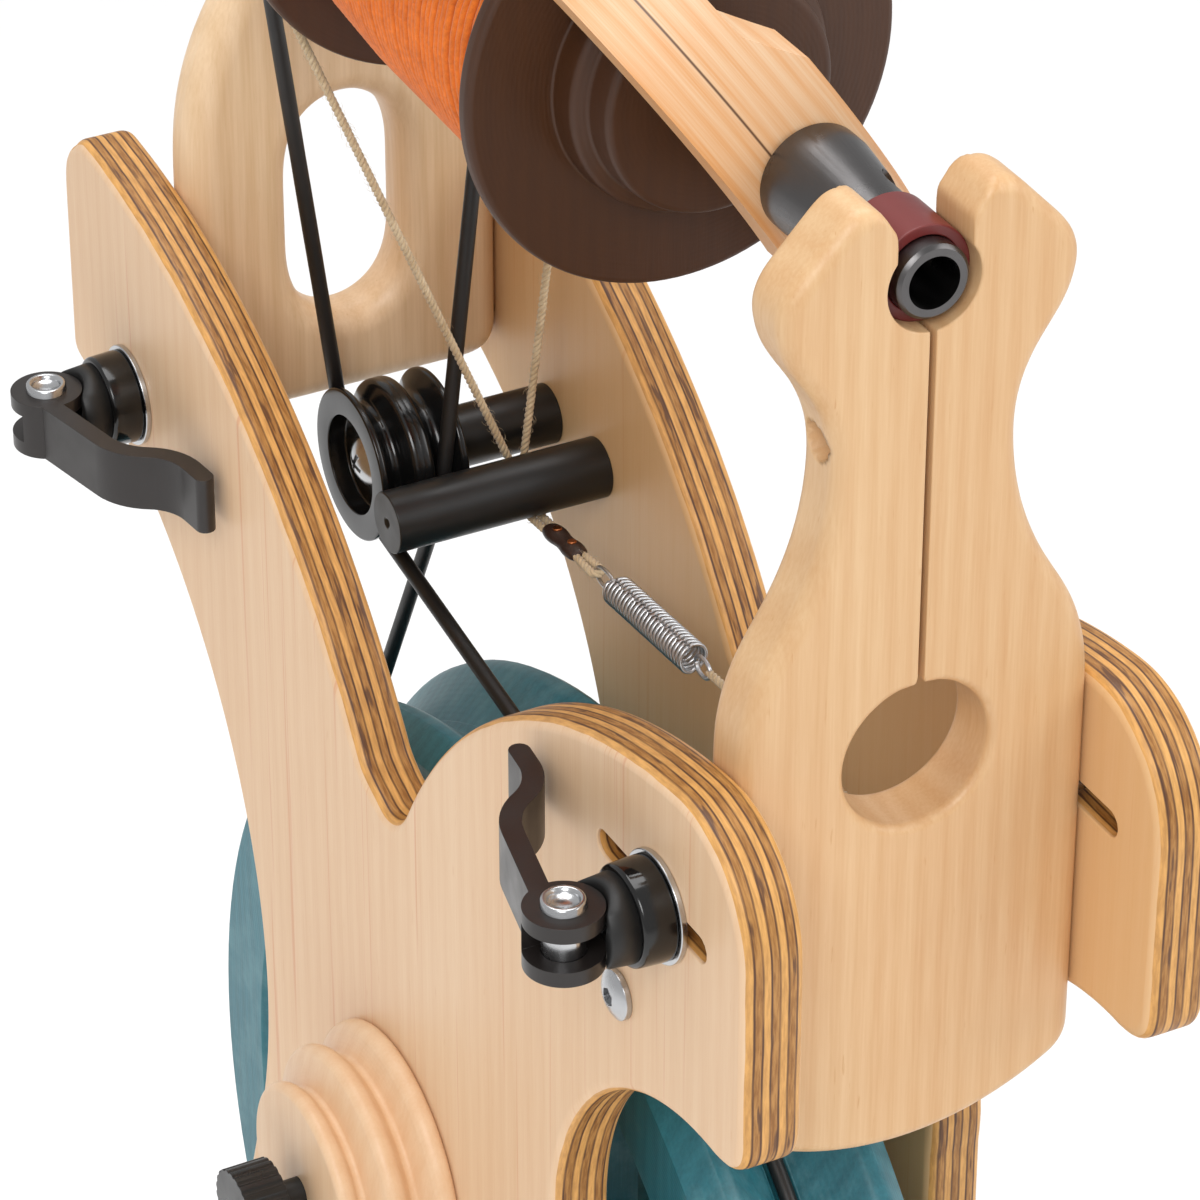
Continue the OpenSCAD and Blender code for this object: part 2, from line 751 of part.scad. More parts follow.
// middle line of a lever's arm: straight, bent towards the panel, bent back and straight to the tip;
// a heading is counted from the arm's run towards the panel
arm_0 = [-3.5, 0];
arm_lean = 12;
arm_l = 30;
arm_bend = 60;
arm_bend_r = 16;
arm_back_r = 14;
arm_tip_lean = 6;
arm_tip_l = 6;
function ahead(h) = [sin(h), cos(h)];
function aside(h) = [cos(h), -sin(h)];
arm_1 = arm_0 + arm_l * ahead(arm_lean) + arm_bend_r * aside(arm_lean);
arm_2 = arm_1 - (arm_bend_r + arm_back_r) * aside(arm_bend);
arm_tip = arm_2 + arm_back_r * aside(arm_tip_lean) + arm_tip_l * ahead(arm_tip_lean);
function arm_side(o) = concat([arm_0 + o * aside(arm_lean)],
  [for (i = [0:sway_n]) arm_1 - (arm_bend_r - o) * aside(mix(arm_lean, arm_bend, i / sway_n))],
  [for (i = [0:sway_n]) arm_2 + (arm_back_r + o) * aside(mix(arm_bend, arm_tip_lean, i / sway_n))]);

// curved lever: forked cam round the barrel and an arm that sways in to the panel
module lever_2d() {
  polygon(concat(arm_side(lever_arm_t / 2), bow(arm_tip, lever_arm_t / 2, -arm_tip_lean, 180 - arm_tip_lean),
    backwards(arm_side(-lever_arm_t / 2))));
  circle(r = cam_r);
}

module clamp_lever(y, z, s) {
  fork = clamp_rod_d + 2.4;
  color("DimGray") place() translate([barrel_x, y, z]) mirror([0, s < 0 ? 1 : 0, 0]) difference() {
    translate([0, 0, -lever_w / 2]) linear_extrude(lever_w) lever_2d();
    translate([-cam_r - 1, -cam_r - 1, -fork / 2]) cube([2 * cam_r + 4, cam_r + 1 + fork / 2, fork]);
    translate([-3, -cam_r - 1, -fork / 2]) cube([2 * cam_r, 2 * cam_r + 2, fork]);
    translate([0, 0, -lever_w]) cylinder(d = barrel_d + 2 * run_gap, h = 2 * lever_w);
  }
}

module front_clamp_washer() {
  clamp_washer(fm_mid, fclamp_z);
}

module front_clamp_cup() {
  clamp_cup(fm_mid, fclamp_z);
}

module front_clamp_barrel() {
  clamp_barrel(fm_mid, fclamp_z);
}

module front_clamp_rod() {
  clamp_rod(fm_mid, fclamp_z);
}

module front_clamp_nut() {
  clamp_nut(fm_mid, fclamp_z);
}

module front_clamp_lever() {
  clamp_lever(fm_mid, fclamp_z, 1);
}

module rear_clamp_washer() {
  clamp_washer(rm_mid, rclamp_z);
}

module rear_clamp_cup() {
  clamp_cup(rm_mid, rclamp_z);
}

module rear_clamp_barrel() {
  clamp_barrel(rm_mid, rclamp_z);
}

module rear_clamp_rod() {
  clamp_rod(rm_mid, rclamp_z);
}

module rear_clamp_nut() {
  clamp_nut(rm_mid, rclamp_z);
}

module rear_clamp_lever() {
  clamp_lever(rm_mid, rclamp_z, -1);
}

// idler post and pulleys
idler_x = -13.5;
idler_pitch = idler_w + pass_gap;
recess_d = 26;
recess_l = 5;
idler_stop = idler_x + idler_pitch + idler_w + pass_gap;
spindle_end = idler_x + recess_l - pass_gap;
idler_belt_r = idler_groove_r + belt_d / 2 + groove_gap;

module idler_post() {
  color("DimGray") place() difference() {
    union() {
      rod_x(idler_y, idler_z, idler_stop, xi - seat_gap, rod_d);
      rod_x(idler_y, idler_z, spindle_end, idler_stop + 1, spindle_d);
    }
    rod_x(idler_y, idler_z, xi - bolt_grip - 1, xi + 1, bolt_d + 0.1);
    rod_x(idler_y, idler_z, spindle_end - 1, spindle_end + 10, 4.1);
  }
}

// half of a pulley's profile, from its face to the middle of the groove
function idler_half(r, w) = [[r - 0.8, 0], [r, 0.7], [r, 1.2], [r - 1.4, 2.1],
  [idler_groove_r + 1.6, w / 2 - 2.6], [idler_groove_r, w / 2 - 1.4]];

// grooved pulley; the outer one has a recess for the screw's head
module idler(x0, recess) {
  b = spindle_d / 2 + run_gap;
  half = idler_half(idler_d / 2, idler_w);
  turn_x(idler_y, idler_z) difference() {
    polygon(concat([[b, x0]], [for (p = half) [p[0], x0 + p[1]]],
      [for (p = backwards(half)) [p[0], x0 + idler_w - p[1]]], [[b, x0 + idler_w]]));
    if (recess) translate([-1, x0 - 1]) square([recess_d / 2 + 1, recess_l + 1]);
  }
}

module idler_pulley_left() {
  color("DimGray") place() idler(idler_x, true);
}

module idler_pulley_right() {
  color("DimGray") place() idler(idler_x + idler_pitch, false);
}

module idler_screw() {
  color("Silver") place() difference() {
    union() {
      intersection() {
        rod_x(idler_y, idler_z, spindle_end - 3.6, spindle_end - seat_gap, 13);
        translate([spindle_end + 5.4, idler_y, idler_z]) sphere(r = 9);
      }
      rod_x(idler_y, idler_z, spindle_end - 1, spindle_end + 9, 4);
    }
    for (a = [0, 90]) translate([spindle_end - 3.6, idler_y, idler_z]) rotate([a + 20, 0, 0])
      cube([3.4, 1.3, 6], center = true);
  }
}

module brake_rod() {
  color("DimGray") place() difference() {
    rod_x(brake_y, brake_z, brake_end_x, xi - seat_gap, rod_d);
    rod_x(brake_y, brake_z, xi - bolt_grip - 1, xi + 1, bolt_d + 0.1);
    turn_x(brake_y, brake_z)
      polygon([[0, brake_end_x - 1], [1.4, brake_end_x - 1], [1.4, brake_end_x], [0, brake_end_x + 1.6]]);
  }
}

// brake: a cord round the bobbin's end, over the rod to a tab, a spring and a tail to the eye
brake_x = 24.5;
eye_wire = 2.4;
eye_r = 4;
strand = 1.3;
line_0 = [brake_x, brake_y, brake_z - cord_c];
eye_c = [spread_front[0] + spreader_d / 2 + 6, spread_front[1]];
line_rise = atan2(eye_c[1] - line_0[2], line_0[1] - eye_c[0]);
line_l = norm([eye_c[1] - line_0[2], line_0[1] - eye_c[0]]);
tab_0 = 8;
tab_l = 18;
tab_w = 5;
tab_t = 3.4;
rivet_in = 5;
rivet_d = 1.4;
rivet_head_d = 2.4;
spring_pitch = spring_wire + 0.65;
lead_near = 19;
lead_far = 8;
spring_0 = tab_0 + tab_l + seat_gap;
spring_l = spring_n * spring_pitch + lead_near + lead_far;

// local frame of the brake line: forward along -Y from under the rod
module on_line() {
  translate(line_0) rotate([-line_rise, 0, 0]) children();
}

function line_pt(p) = line_0 + [p[0], p[1] * cos(line_rise) + p[2] * sin(line_rise),
  -p[1] * sin(line_rise) + p[2] * cos(line_rise)];

brake_groove_r = 45.5;
brake_groove_y = 76;
loop_n = 28;
brake_loop_r = (brake_groove_r + cord_d / 2 + pass_gap) / cos(140 / loop_n);
function tan_angle(x, z, r, s) = atan2(z - fz, x) + s * acos(r / norm([x, z - fz]));
function ring_pt(a, r, y) = [r * cos(a), y, fz + r * sin(a)];

cord_left = tan_angle(brake_x - strand, brake_z, brake_loop_r, -1) + 360;
cord_right = tan_angle(brake_x + strand, brake_z, brake_loop_r, 1);
cord_rod_a = [for (i = [0:5]) -90 + 18 * i];
cord_pts = concat(
  [line_pt([-strand, -tab_0, 0]), line_pt([-strand, -tab_0 / 2, 0])],
  [for (a = cord_rod_a) [brake_x - strand, brake_y + cord_c * cos(a), brake_z + cord_c * sin(a)]],
  [for (i = [0:loop_n])
    ring_pt(cord_left + (cord_right - cord_left) * i / loop_n, brake_loop_r, brake_groove_y)],
  [for (i = [0:5])
    [brake_x + strand, brake_y + cord_c * cos(cord_rod_a[5 - i]), brake_z + cord_c * sin(cord_rod_a[5 - i])]],
  [line_pt([strand, -tab_0 / 2, 0]), line_pt([strand, -tab_0, 0])]);
cord_refs = concat([for (i = [0:7]) [1, 0, 0]], [for (i = [0:loop_n]) [0, 1, 0]], [for (i = [0:7]) [1, 0, 0]]);

module brake_cord() {
  color("Tan") place() tube(cord_pts, cord_refs, cord_d / 2, 8, false);
}

// flattened sleeve that the cord's two ends are riveted in
module brake_tab() {
  color("SaddleBrown") place() on_line() difference() {
    intersection() {
      translate([-tab_w / 2, -tab_0 - tab_l, -tab_t / 2]) cube([tab_w, tab_l - seat_gap, tab_t]);
      rotate([90, 0, 0]) cylinder(d = tab_w + 0.5, h = tab_0 + tab_l + 1);
    }
    for (y = [rivet_in, tab_l - rivet_in]) translate([0, -tab_0 - y, -5])
      cylinder(d = rivet_d + 2 * seat_gap, h = 10);
  }
}

module brake_rivets() {
  color("Peru") place() on_line() for (y = [rivet_in, tab_l - rivet_in]) translate([0, -tab_0 - y, 0]) {
    cylinder(d = rivet_d, h = tab_t + 0.4, center = true);
    for (s = [-1, 1]) translate([0, 0, s * (tab_t / 2 + 0.35)])
      cylinder(d = rivet_head_d, h = 0.6, center = true);
  }
}

// the wire leaves each end along the line, widens over one turn and runs in even curls
function spring_pt(k) = let (
  n = 8 * spring_n, a = 45 * k,
  ramp = min(1, max(0, min(k, n - k) / 8)),
  r = spring_r * ramp * ramp * (3 - 2 * ramp),
  y = lead_near + spring_pitch * k / 8)
  [r * cos(a), -spring_0 - y, r * sin(a)];
spring_pts = concat([[0, -spring_0, 0], [0, -spring_0 - lead_near / 2, 0]],
  [for (k = [0:8 * spring_n]) spring_pt(k)],
  [[0, -spring_0 - spring_l + lead_far / 2, 0], [0, -spring_0 - spring_l, 0]]);

// least gap between the wire and itself, on points at least half a curl apart
spring_gap = min([for (i = [0:8 * spring_n]) for (j = [i + 5:min(i + 22, 8 * spring_n)])
  if (j > i + 4) norm(spring_pt(i) - spring_pt(j))]) - spring_wire;
echo(spring_least_gap = spring_gap);

module brake_spring() {
  color("Silver") place() on_line() tube(spring_pts, [for (p = spring_pts) norm([p[0], p[2]]) > 0.5 ?
    [p[0], 0, p[2]] : [1, 0, 0]], spring_wire / 2, 6, false);
}

module brake_tail() {
  y0 = spring_0 + spring_l + seat_gap;
  color("Tan") place() on_line() translate([0, -y0, 0]) rotate([90, 0, 0])
    cylinder(d = cord_d, h = line_l - y0 - eye_r - eye_wire / 2 - 0.1);
}

module brake_eye() {
  color("Silver") place() {
    translate([brake_x, eye_c[0], eye_c[1]]) rotate_extrude($fn = 48)
      translate([eye_r, 0]) circle(d = eye_wire, $fn = 24);
    translate([brake_x, spread_front[0] + 1, spread_front[1]]) rotate([-90, 0, 0])
      cylinder(d = eye_wire - 0.6, h = spreader_d / 2 + 6 - eye_r - 1 + 0.4);
  }
}

// drive belt: wheel, right idler, whorl, left idler and back
whorl_y = 100;
whorl_belt_r = whorl_r + belt_d / 2 + groove_gap;
idl_p = [idler_y, idler_z];
whl_p = [0, axle_z];
gr_x = [idler_x + idler_w / 2, idler_x + idler_pitch + idler_w / 2];
belt_dir = whl_p - idl_p;
belt_a = atan2(belt_dir[1], belt_dir[0]);
belt_b = acos((idler_belt_r + wheel_belt_r) / norm(belt_dir));
wheel_a0 = belt_a + belt_b + 180;
wheel_a1 = belt_a - belt_b + 180 + 360;
lean_l = atan2(idler_y + idler_belt_r - whorl_y, fz - idler_z);
lean_r = atan2(whorl_y - idler_y + idler_belt_r, fz - idler_z);
whorl_a0 = tan_angle(gr_x[1], idler_z, whorl_belt_r, 1);
whorl_a1 = tan_angle(gr_x[0], idler_z, whorl_belt_r, -1) + 360;
function arc_pt(x, c, r, a) = [x, c[0] + r * cos(a), c[1] + r * sin(a)];
function mix(a, b, t) = a * (1 - t) + b * t;
// radius of an arc's corners, so that its chords lie as far inside the true arc as the corners outside
function chord_r(r, step) = r * (1 + 1 / cos(step / 2)) / 2;
wheel_n = 50;
wheel_step = (wheel_a1 - wheel_a0) / wheel_n;
wheel_pts = [for (i = [0:wheel_n])
  arc_pt(0, whl_p, chord_r(wheel_belt_r, wheel_step), wheel_a0 + wheel_step * i)];
right_pts = [for (i = [0:3]) arc_pt(gr_x[1], idl_p, idler_belt_r,
  mix(belt_a - belt_b + 360, 180 - lean_r, i / 3))];
whorl_n = 20;
whorl_step = (whorl_a1 - whorl_a0) / whorl_n;
whorl_pts = [for (i = [0:whorl_n])
  ring_pt(whorl_a0 + whorl_step * i, chord_r(whorl_belt_r, whorl_step), whorl_y)];
left_pts = [for (i = [0:6]) arc_pt(gr_x[0], idl_p, idler_belt_r, mix(lean_l, belt_a + belt_b, i / 6))];
up_pts = [for (i = [1:3]) mix(right_pts[3], whorl_pts[0], i / 4)];
down_pts = [for (i = [1:3]) mix(whorl_pts[whorl_n], left_pts[0], i / 4)];
belt_pts = concat(wheel_pts, right_pts, up_pts, whorl_pts, down_pts, left_pts);
belt_refs = concat([for (p = wheel_pts) [1, 0, 0]], [for (p = right_pts) [1, 0, 0]],
  [for (i = [1:3]) mix([1, 0, 0], [0, 1, 0], i / 4)], [for (p = whorl_pts) [0, 1, 0]],
  [for (i = [1:3]) mix([0, 1, 0], [1, 0, 0], i / 4)], [for (p = left_pts) [1, 0, 0]]);

module drive_belt() {
  color("DimGray") place() tube(belt_pts, belt_refs, belt_d / 2, 8, true);
}

// bobbin: stepped nose, two flanges, core and the brake groove
bob_0 = -53;
bob_1 = 82;
nose_l = 17;
shaft_gap = 0.08;

module bobbin() {
  b = shaft_d / 2 + shaft_gap;
  f = flange_r;
  t = flange_t;
  g = brake_groove_y;
  color("SaddleBrown") place() turn_y() polygon([[b, bob_0 - nose_l], [26.5, bob_0 - nose_l],
    [27.5, bob_0 - nose_l + 1],
    [28, bob_0 - 9], [30.5, bob_0 - 8], [31.5, bob_0 - 7], [32, bob_0], [f - 1, bob_0], [f, bob_0 + 1],
    [f, bob_0 + t - 1], [f - 1, bob_0 + t], [core_r, bob_0 + t], [core_r, g - 6 - t], [f - 1, g - 6 - t],
    [f, g - 5 - t], [f, g - 6], [f - 1, g - 5], [brake_groove_r, g - 1.4], [brake_groove_r, g + 1.4],
    [brake_groove_r + 4, bob_1 - 1], [brake_groove_r + 3, bob_1], [b, bob_1]]);
}

module yarn() {
  y0 = bob_0 + flange_t + seat_gap;
  y1 = brake_groove_y - 6 - flange_t - seat_gap;
  c = core_r + seat_gap;
  color("DarkOrange") place() turn_y() polygon([[c, y0], [yarn_r - 8, y0], [yarn_r - 2, y0 + 8],
    [yarn_r, y0 + 26],
    [yarn_r - 1, y1 - 40], [yarn_r - 3, y1 - 12], [yarn_r - 9, y1], [c, y1]]);
}

// flyer, drawn with its arms upright and turned to rest
module flyer_turned() {
  translate([0, 0, fz]) rotate([0, -flyer_turn, 0]) children();
}

bend_y = -38;
arm_back = 58;
yoke_front = bend_y - yoke_r - yoke_t;

module yoke_2d() {
  r = yoke_r + yoke_t;
  difference() {
    union() {
      translate([bend_y, 0]) circle(r = r, $fn = 160);
      translate([bend_y, -r]) square([arm_back - bend_y - yoke_t / 2, 2 * r]);
      for (s = [-1, 1]) translate([arm_back - yoke_t / 2, s * (r - yoke_t / 2)]) circle(d = yoke_t);
    }
    translate([bend_y, 0]) circle(r = yoke_r, $fn = 160);
    translate([bend_y, -yoke_r]) square([arm_back - bend_y + 40, 2 * yoke_r]);
  }
}

hook_n = 5;
hook_pitch = 19;
hook_wire = 2.2;
hook_r = 4;
function hook_y(i) = arm_back - 12 - hook_pitch * i;

// the arms stand to opposite sides of the hub block, each with a sloped shoulder
arm_step = 8;
block_w = yoke_w + arm_step;

module arm_steps() {
  for (a = [0, 180]) rotate([0, a, 0]) translate([0, arm_back + 1, 0]) rotate([90, 0, 0])
    linear_extrude(arm_back - yoke_front + 2)
      polygon([[block_w / 2 - arm_step, 34], [block_w / 2 + 1, 20], [block_w / 2 + 1, 90],
        [block_w / 2 - arm_step, 90]]);
}

module flyer_yoke() {
  color("BurlyWood") place() flyer_turned() difference() {
    rotate([90, 0, 90]) translate([0, 0, -block_w / 2]) linear_extrude(block_w) yoke_2d();
    arm_steps();
    rotate([-90, 0, 0]) translate([0, 0, yoke_front - 1]) cylinder(d = hub_d + 2 * seat_gap, h = yoke_t + 12);
    for (i = [0:hook_n - 1]) for (s = [-1, 1]) translate([-s * arm_step / 2, hook_y(i), s * (yoke_r + yoke_t)])
      cylinder(d = hook_wire - 0.5 + 2 * seat_gap, h = 12, center = true);
  }
}

hub_d = 20;
tube_front = front_y + 0.5;
hub_back = yoke_front + yoke_t + 9;

// orifice tube with its side eye, a cone that widens to the yoke and the hub through it
module flyer_tube() {
  r = tube_d / 2;
  b = bush_0 + bush_l + 0.5;
  color("DimGray") place() flyer_turned() difference() {
    rotate([-90, 0, 0]) rotate_extrude($fn = 96) polygon([[0, tube_front], [r - 0.8, tube_front],
      [r, tube_front + 0.8],
      [r, b], [r + 0.6, b], [hub_d / 2 + 2.6, yoke_front - 5], [hub_d / 2 + 2.6, yoke_front - seat_gap],
      [hub_d / 2, yoke_front - seat_gap], [hub_d / 2, hub_back], [0, hub_back]]);
    rotate([-90, 0, 0]) translate([0, 0, tube_front - 1])
      cylinder(d = orifice_d, h = yoke_front - tube_front - 6);
    rotate([-90, 0, 0]) translate([0, 0, hub_back - 12]) cylinder(d = shaft_d + 2 * seat_gap, h = 20);
    translate([0, yoke_front - 20, 0]) rotate([0, 90, 0]) cylinder(d = 9, h = 40, center = true);
  }
}

module flyer_shaft() {
  color("Silver") place() turn_y() polygon([[0, hub_back - 11.5], [shaft_d / 2, hub_back - 11.5],
    [shaft_d / 2, rear_y + 5],
    [shaft_d / 2 - 1, rear_y + 6.5], [0, rear_y + 6.5]]);
}

module flyer_hooks() {
  r0 = yoke_r + yoke_t;
  color("Silver") place() flyer_turned() for (i = [0:hook_n - 1]) for (s = [-1, 1])
    translate([-s * arm_step / 2, hook_y(i), s * r0]) mirror([0, 0, s < 0 ? 1 : 0]) {
      translate([0, 0, -5.5]) cylinder(d = hook_wire - 0.5, h = 9.2, $fn = 24);
      translate([-hook_r, 0, 3.2]) rotate([90, 0, 0]) rotate_extrude(angle = 200, $fn = 48)
        translate([hook_r, 0])
        circle(d = hook_wire, $fn = 24);
    }
}

// two-step whorl turned from maple; positions along the axis from its large flange
module whorl_profile(r, b) {
  polygon([[b, 0], [r + 5, 0], [r + 6, 1], [r + 6, 2.6], [r + 5, 3.6], [r, 8], [r, 10.5],
    [r + 3, 14], [r + 3, 16],
    [r - 2, 16.6], [r - 7, 19], [r - 7, 21], [r - 4, 24], [r - 4, 25.4], [r - 5, 26.4], [b, 26.4]]);
}

module flyer_whorl() {
  color("BurlyWood") place() translate([0, whorl_y - 9.25, 0]) turn_y() difference() {
    whorl_profile(whorl_r, shaft_d / 2 + seat_gap);
    translate([whorl_belt_r, 9.25]) circle(d = belt_d + 2 * groove_gap, $fn = 32);
  }
}

// spare whorl on the left panel
spare_y = -17;

module spare_whorl() {
  color("BurlyWood") place() translate([-xo - seat_gap, spare_y, axle_z + spare_rise]) rotate([0, -90, 0])
    rotate_extrude($fn = 96) whorl_profile(spare_r - 6, peg_d / 2 + seat_gap);
}

peg_l = 42;

module whorl_peg() {
  color("DimGray") place() rod_x(spare_y, axle_z + spare_rise, -xo - peg_l, -xo + 10, peg_d);
}

module whorl_knob() {
  color("DimGray") place() difference() {
    rod_x(spare_y, axle_z + spare_rise, -xo - peg_l - 2, -xo - peg_l + 9, 22);
    rod_x(spare_y, axle_z + spare_rise, -xo - peg_l, -xo + 10, peg_d + 2 * seat_gap);
    for (i = [0:23]) translate([0, spare_y, axle_z + spare_rise]) rotate([15 * i, 0, 0])
      rod_x(11.6, 0, -xo - peg_l - 3, -xo - peg_l + 10, 2);
  }
}

side_panel_left();
side_panel_right();
front_spreader();
lower_spreaders();
frame_bolts();
rubber_feet();
axle_bearings();
drive_wheel();
wheel_axle();
crank_pins();
footman_left();
footman_right();
treadle_axle();
treadle_lever_left();
treadle_lever_right();
footman_pin_left();
footman_pin_right();
treadle_left();
treadle_right();
treadle_pin_left();
treadle_pin_right();
front_maiden();
orifice_bush();
rear_maiden();
rear_bush();
front_clamp_washer();
front_clamp_cup();
front_clamp_barrel();
front_clamp_rod();
front_clamp_nut();
front_clamp_lever();
rear_clamp_washer();
rear_clamp_cup();
rear_clamp_barrel();
rear_clamp_rod();
rear_clamp_nut();
rear_clamp_lever();
idler_post();
idler_pulley_left();
idler_pulley_right();
idler_screw();
brake_rod();
brake_cord();
brake_tab();
brake_rivets();
brake_spring();
brake_tail();
brake_eye();
drive_belt();
bobbin();
yarn();
flyer_yoke();
flyer_tube();
flyer_shaft();
flyer_hooks();
flyer_whorl();
spare_whorl();
whorl_peg();
whorl_knob();
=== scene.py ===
"""Looks of a travel spinning wheel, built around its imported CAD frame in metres."""
import json
import math

import bpy
import numpy as np
from bpy.props import FloatProperty, FloatVectorProperty, IntProperty, PointerProperty
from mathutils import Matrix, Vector
from mathutils.geometry import delaunay_2d_cdt


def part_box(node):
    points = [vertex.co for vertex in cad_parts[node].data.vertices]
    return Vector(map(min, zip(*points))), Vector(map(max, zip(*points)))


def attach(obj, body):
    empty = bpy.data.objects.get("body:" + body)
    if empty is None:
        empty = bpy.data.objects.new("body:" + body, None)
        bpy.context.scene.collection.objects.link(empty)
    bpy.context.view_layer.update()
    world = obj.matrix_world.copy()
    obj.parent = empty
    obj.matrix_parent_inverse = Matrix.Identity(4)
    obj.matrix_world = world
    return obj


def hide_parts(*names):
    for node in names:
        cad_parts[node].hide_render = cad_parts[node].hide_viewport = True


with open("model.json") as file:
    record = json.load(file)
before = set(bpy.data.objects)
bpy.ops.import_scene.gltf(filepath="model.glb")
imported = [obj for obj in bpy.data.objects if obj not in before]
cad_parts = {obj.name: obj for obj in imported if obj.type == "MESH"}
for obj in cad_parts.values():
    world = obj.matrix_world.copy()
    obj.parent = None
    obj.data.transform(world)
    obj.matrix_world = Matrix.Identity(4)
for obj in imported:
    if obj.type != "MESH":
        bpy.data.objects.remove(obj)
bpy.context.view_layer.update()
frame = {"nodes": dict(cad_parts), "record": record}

bl_info = {
    "name": "Travel spinning wheel",
    "version": (1, 0, 0),
    "blender": (4, 5, 0),
    "location": "3D View > Sidebar > Spinning wheel",
    "description": "Finishes, cords, yarn and stage of a travel spinning wheel",
    "category": "Object",
}

RECORD = frame["record"]
BODY = {node: body for body, nodes in RECORD["behaviour"]["bodies"].items() for node in nodes}
MM = 0.001
X, Y, Z = np.eye(3)


def box_of(node):
    """Lowest and highest corner of a CAD node's box, in millimetres in the part's frame."""
    return 1000 * np.array(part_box(node))


def middle_of(node):
    """The middle of a CAD node's box, in millimetres in the part's frame."""
    return box_of(node).mean(0)


def face_of(node, end):
    """The middle of a CAD node's face at its low or high end along X, 0 or 1, in the same millimetres."""
    return np.array([box_of(node)[end, 0], *middle_of(node)[1:]])


# places in millimetres, with Y counted from the wheel's axle as in the part's source
AXLE_Y = middle_of("wheel_axle")[1]
AXLE_Z = 250.0
FLYER_Z = 636.0
FLYER_TURN = math.radians(-34)
HOLE_Z = 521.0
NECK_Z = 597.0

# plywood of the panels: the inner face's distance from the middle, the thickness of a panel, of its face
# veneer and of an outer ply with its veneer, and how many plies lie between these
PANEL_INNER = 43.0
PANEL_THICK = 15.0
VENEER = 0.8
OUTER_PLY = 2.4
INNER_PLIES = 5

# boards with round edges: steps along their outlines, rows of points over an edge and over the wall with
# its ends, and the pocket in the front maiden's neck as height, place, radius and depth
PANEL_STEP, MAIDEN_STEP = 1.5, 0.9
EDGE_ROWS, WALL_ROWS = 7, 17
NECK_DENT = (NECK_Z + 4, -153.0, 4.2, 6.0)

# softened pieces: points this close are one, in metres, and angles of flat joins and of edges; and how much
# the large faces lead the light on softened and on sanded pieces
WELD_GAP = 2e-6
FLAT_ANGLE, EDGE_ANGLE = math.radians(0.6), math.radians(32)
SOFT_LEAD, SANDED_LEAD = 60, 80

# belt
IDLER = (98.4, 458.0)
IDLER_GROOVES = (-7.5, 4.8)
IDLER_BELT_R = 16.8
WHEEL_BELT_R = 158.5
WHORL_BELT_R = 35.3
WHORL_Y = 100.0

# brake, with the places on its straight line counted forward from under the rod
ROD_Y, ROD_Z = 70.3, 457.0
CORD_X, CORD_APART, CORD_C = 24.5, 1.3, 9.1
LOOP_R, LOOP_Y = 46.9, 76.0
EYE_Y, EYE_Z, EYE_R = -121.0, 461.0, 4.0
EYE_AT = math.hypot(EYE_Y - ROD_Y, EYE_Z - ROD_Z + CORD_C)
TAB_AT, TAB_L = 8.0, 18.0
SPRING_R, SPRING_N, SPRING_PITCH = 3.7, 25, 1.65
SPRING_AT = TAB_AT + TAB_L
COIL_AT = SPRING_AT + 19.0
COIL_END = COIL_AT + SPRING_N * SPRING_PITCH
SPRING_END = COIL_END + 8.0
HOOK_NEAR, HOOK_NEAR_HALF = COIL_AT - 5.5, 5.2
HOOK_FAR, HOOK_FAR_HALF = COIL_END + 4.0, 3.7
HOOK_RISE = 2.5

# twine: places and radius of the strands and the hairs' roots as shares of its thickness, hairs in metres,
# and seeds for the hairs
STRAND_OUT, STRAND_R, HAIR_ROOT = 0.22, 0.27, 0.42
HAIR_REACH, HAIR_R = 1.1 * MM, 0.045 * MM
CORD_SEED, TAIL_SEED, LOOP_SEED = 11, 12, 13

# turned pieces: corners of their outlines as radius, place and radius of the rounding
LATHE_SIDES = 96
CUP = ((2.9, -8, 0.1), (11.6, -8, 1.1), (12, 0, 0.5), (2.9, 0, 0.1))
SADDLE_R, SADDLE_TOP, SADDLE_DEPTH, SADDLE_FOOT = 9.3, -11.9, 3.0, -7.9
BARREL_TIPS = (-8.2, 8.2)
BARREL_R = (3.3, 3.5, 3.7, 4.6, 5, 5, 4.6, 3.7, 3.5, 3.3)
BARREL_AT = (-8.2, -8.5, -9.4, -9.5, -9.1, 9.1, 9.5, 9.4, 8.5, 8.2)
IDLER_LEFT = ((13, 0, 0.4), (20, 0, 0.6), (20, 1.7, 1.0), (14.4, 4.6, 2.2), (14.4, 7.4, 1.8), (20, 9.6, 2.0),
              (20, 12.14, 0.05), (4.1, 12.14, 0.05), (4.1, 5, 0.2), (13, 5, 0.6))
IDLER_RIGHT = ((4.1, -0.14, 0.05), (20, -0.14, 0.05), (20, 2.4, 2.0), (14.4, 4.6, 1.8), (14.4, 7.4, 2.2),
               (20, 10.3, 1.0), (20, 12, 0.6), (4.1, 12, 0.2))
WHORL_STEPS = ((30.2, 8.0, 1.2), (30.2, 9.6, 1.4), (34, 12.4, 3.4), (34, 16.2, 2.6), (24.4, 19.0, 1.0),
               (24.4, 20.6, 1.5), (27.4, 22.6, 3.2), (27.4, 26.4, 2.0))

# stage: lamps as name, place and size in metres and power in watts, and the camera, whose place is in
# millimetres as above
LAMPS = (("key", (-1.3, -1.7, 2.3), 1.3, 34.0), ("fill", (1.7, -1.1, 1.5), 1.6, 16.0),
         ("top", (0.1, 0.5, 2.6), 1.6, 26.0))
LAMP_AIM = Vector((0, 0.05, 0.5))
SKY_STRENGTH = 0.62
FLOOR_HALF = 6
CAMERA_AT = (-513.7, -1007.6, 1189.8)
CAMERA_WAY = Vector((0.3871, 0.7493, -0.5373))
CAMERA_LENS, CAMERA_SENSOR, CAMERA_REACH = 168.06, 36.0, 50.0


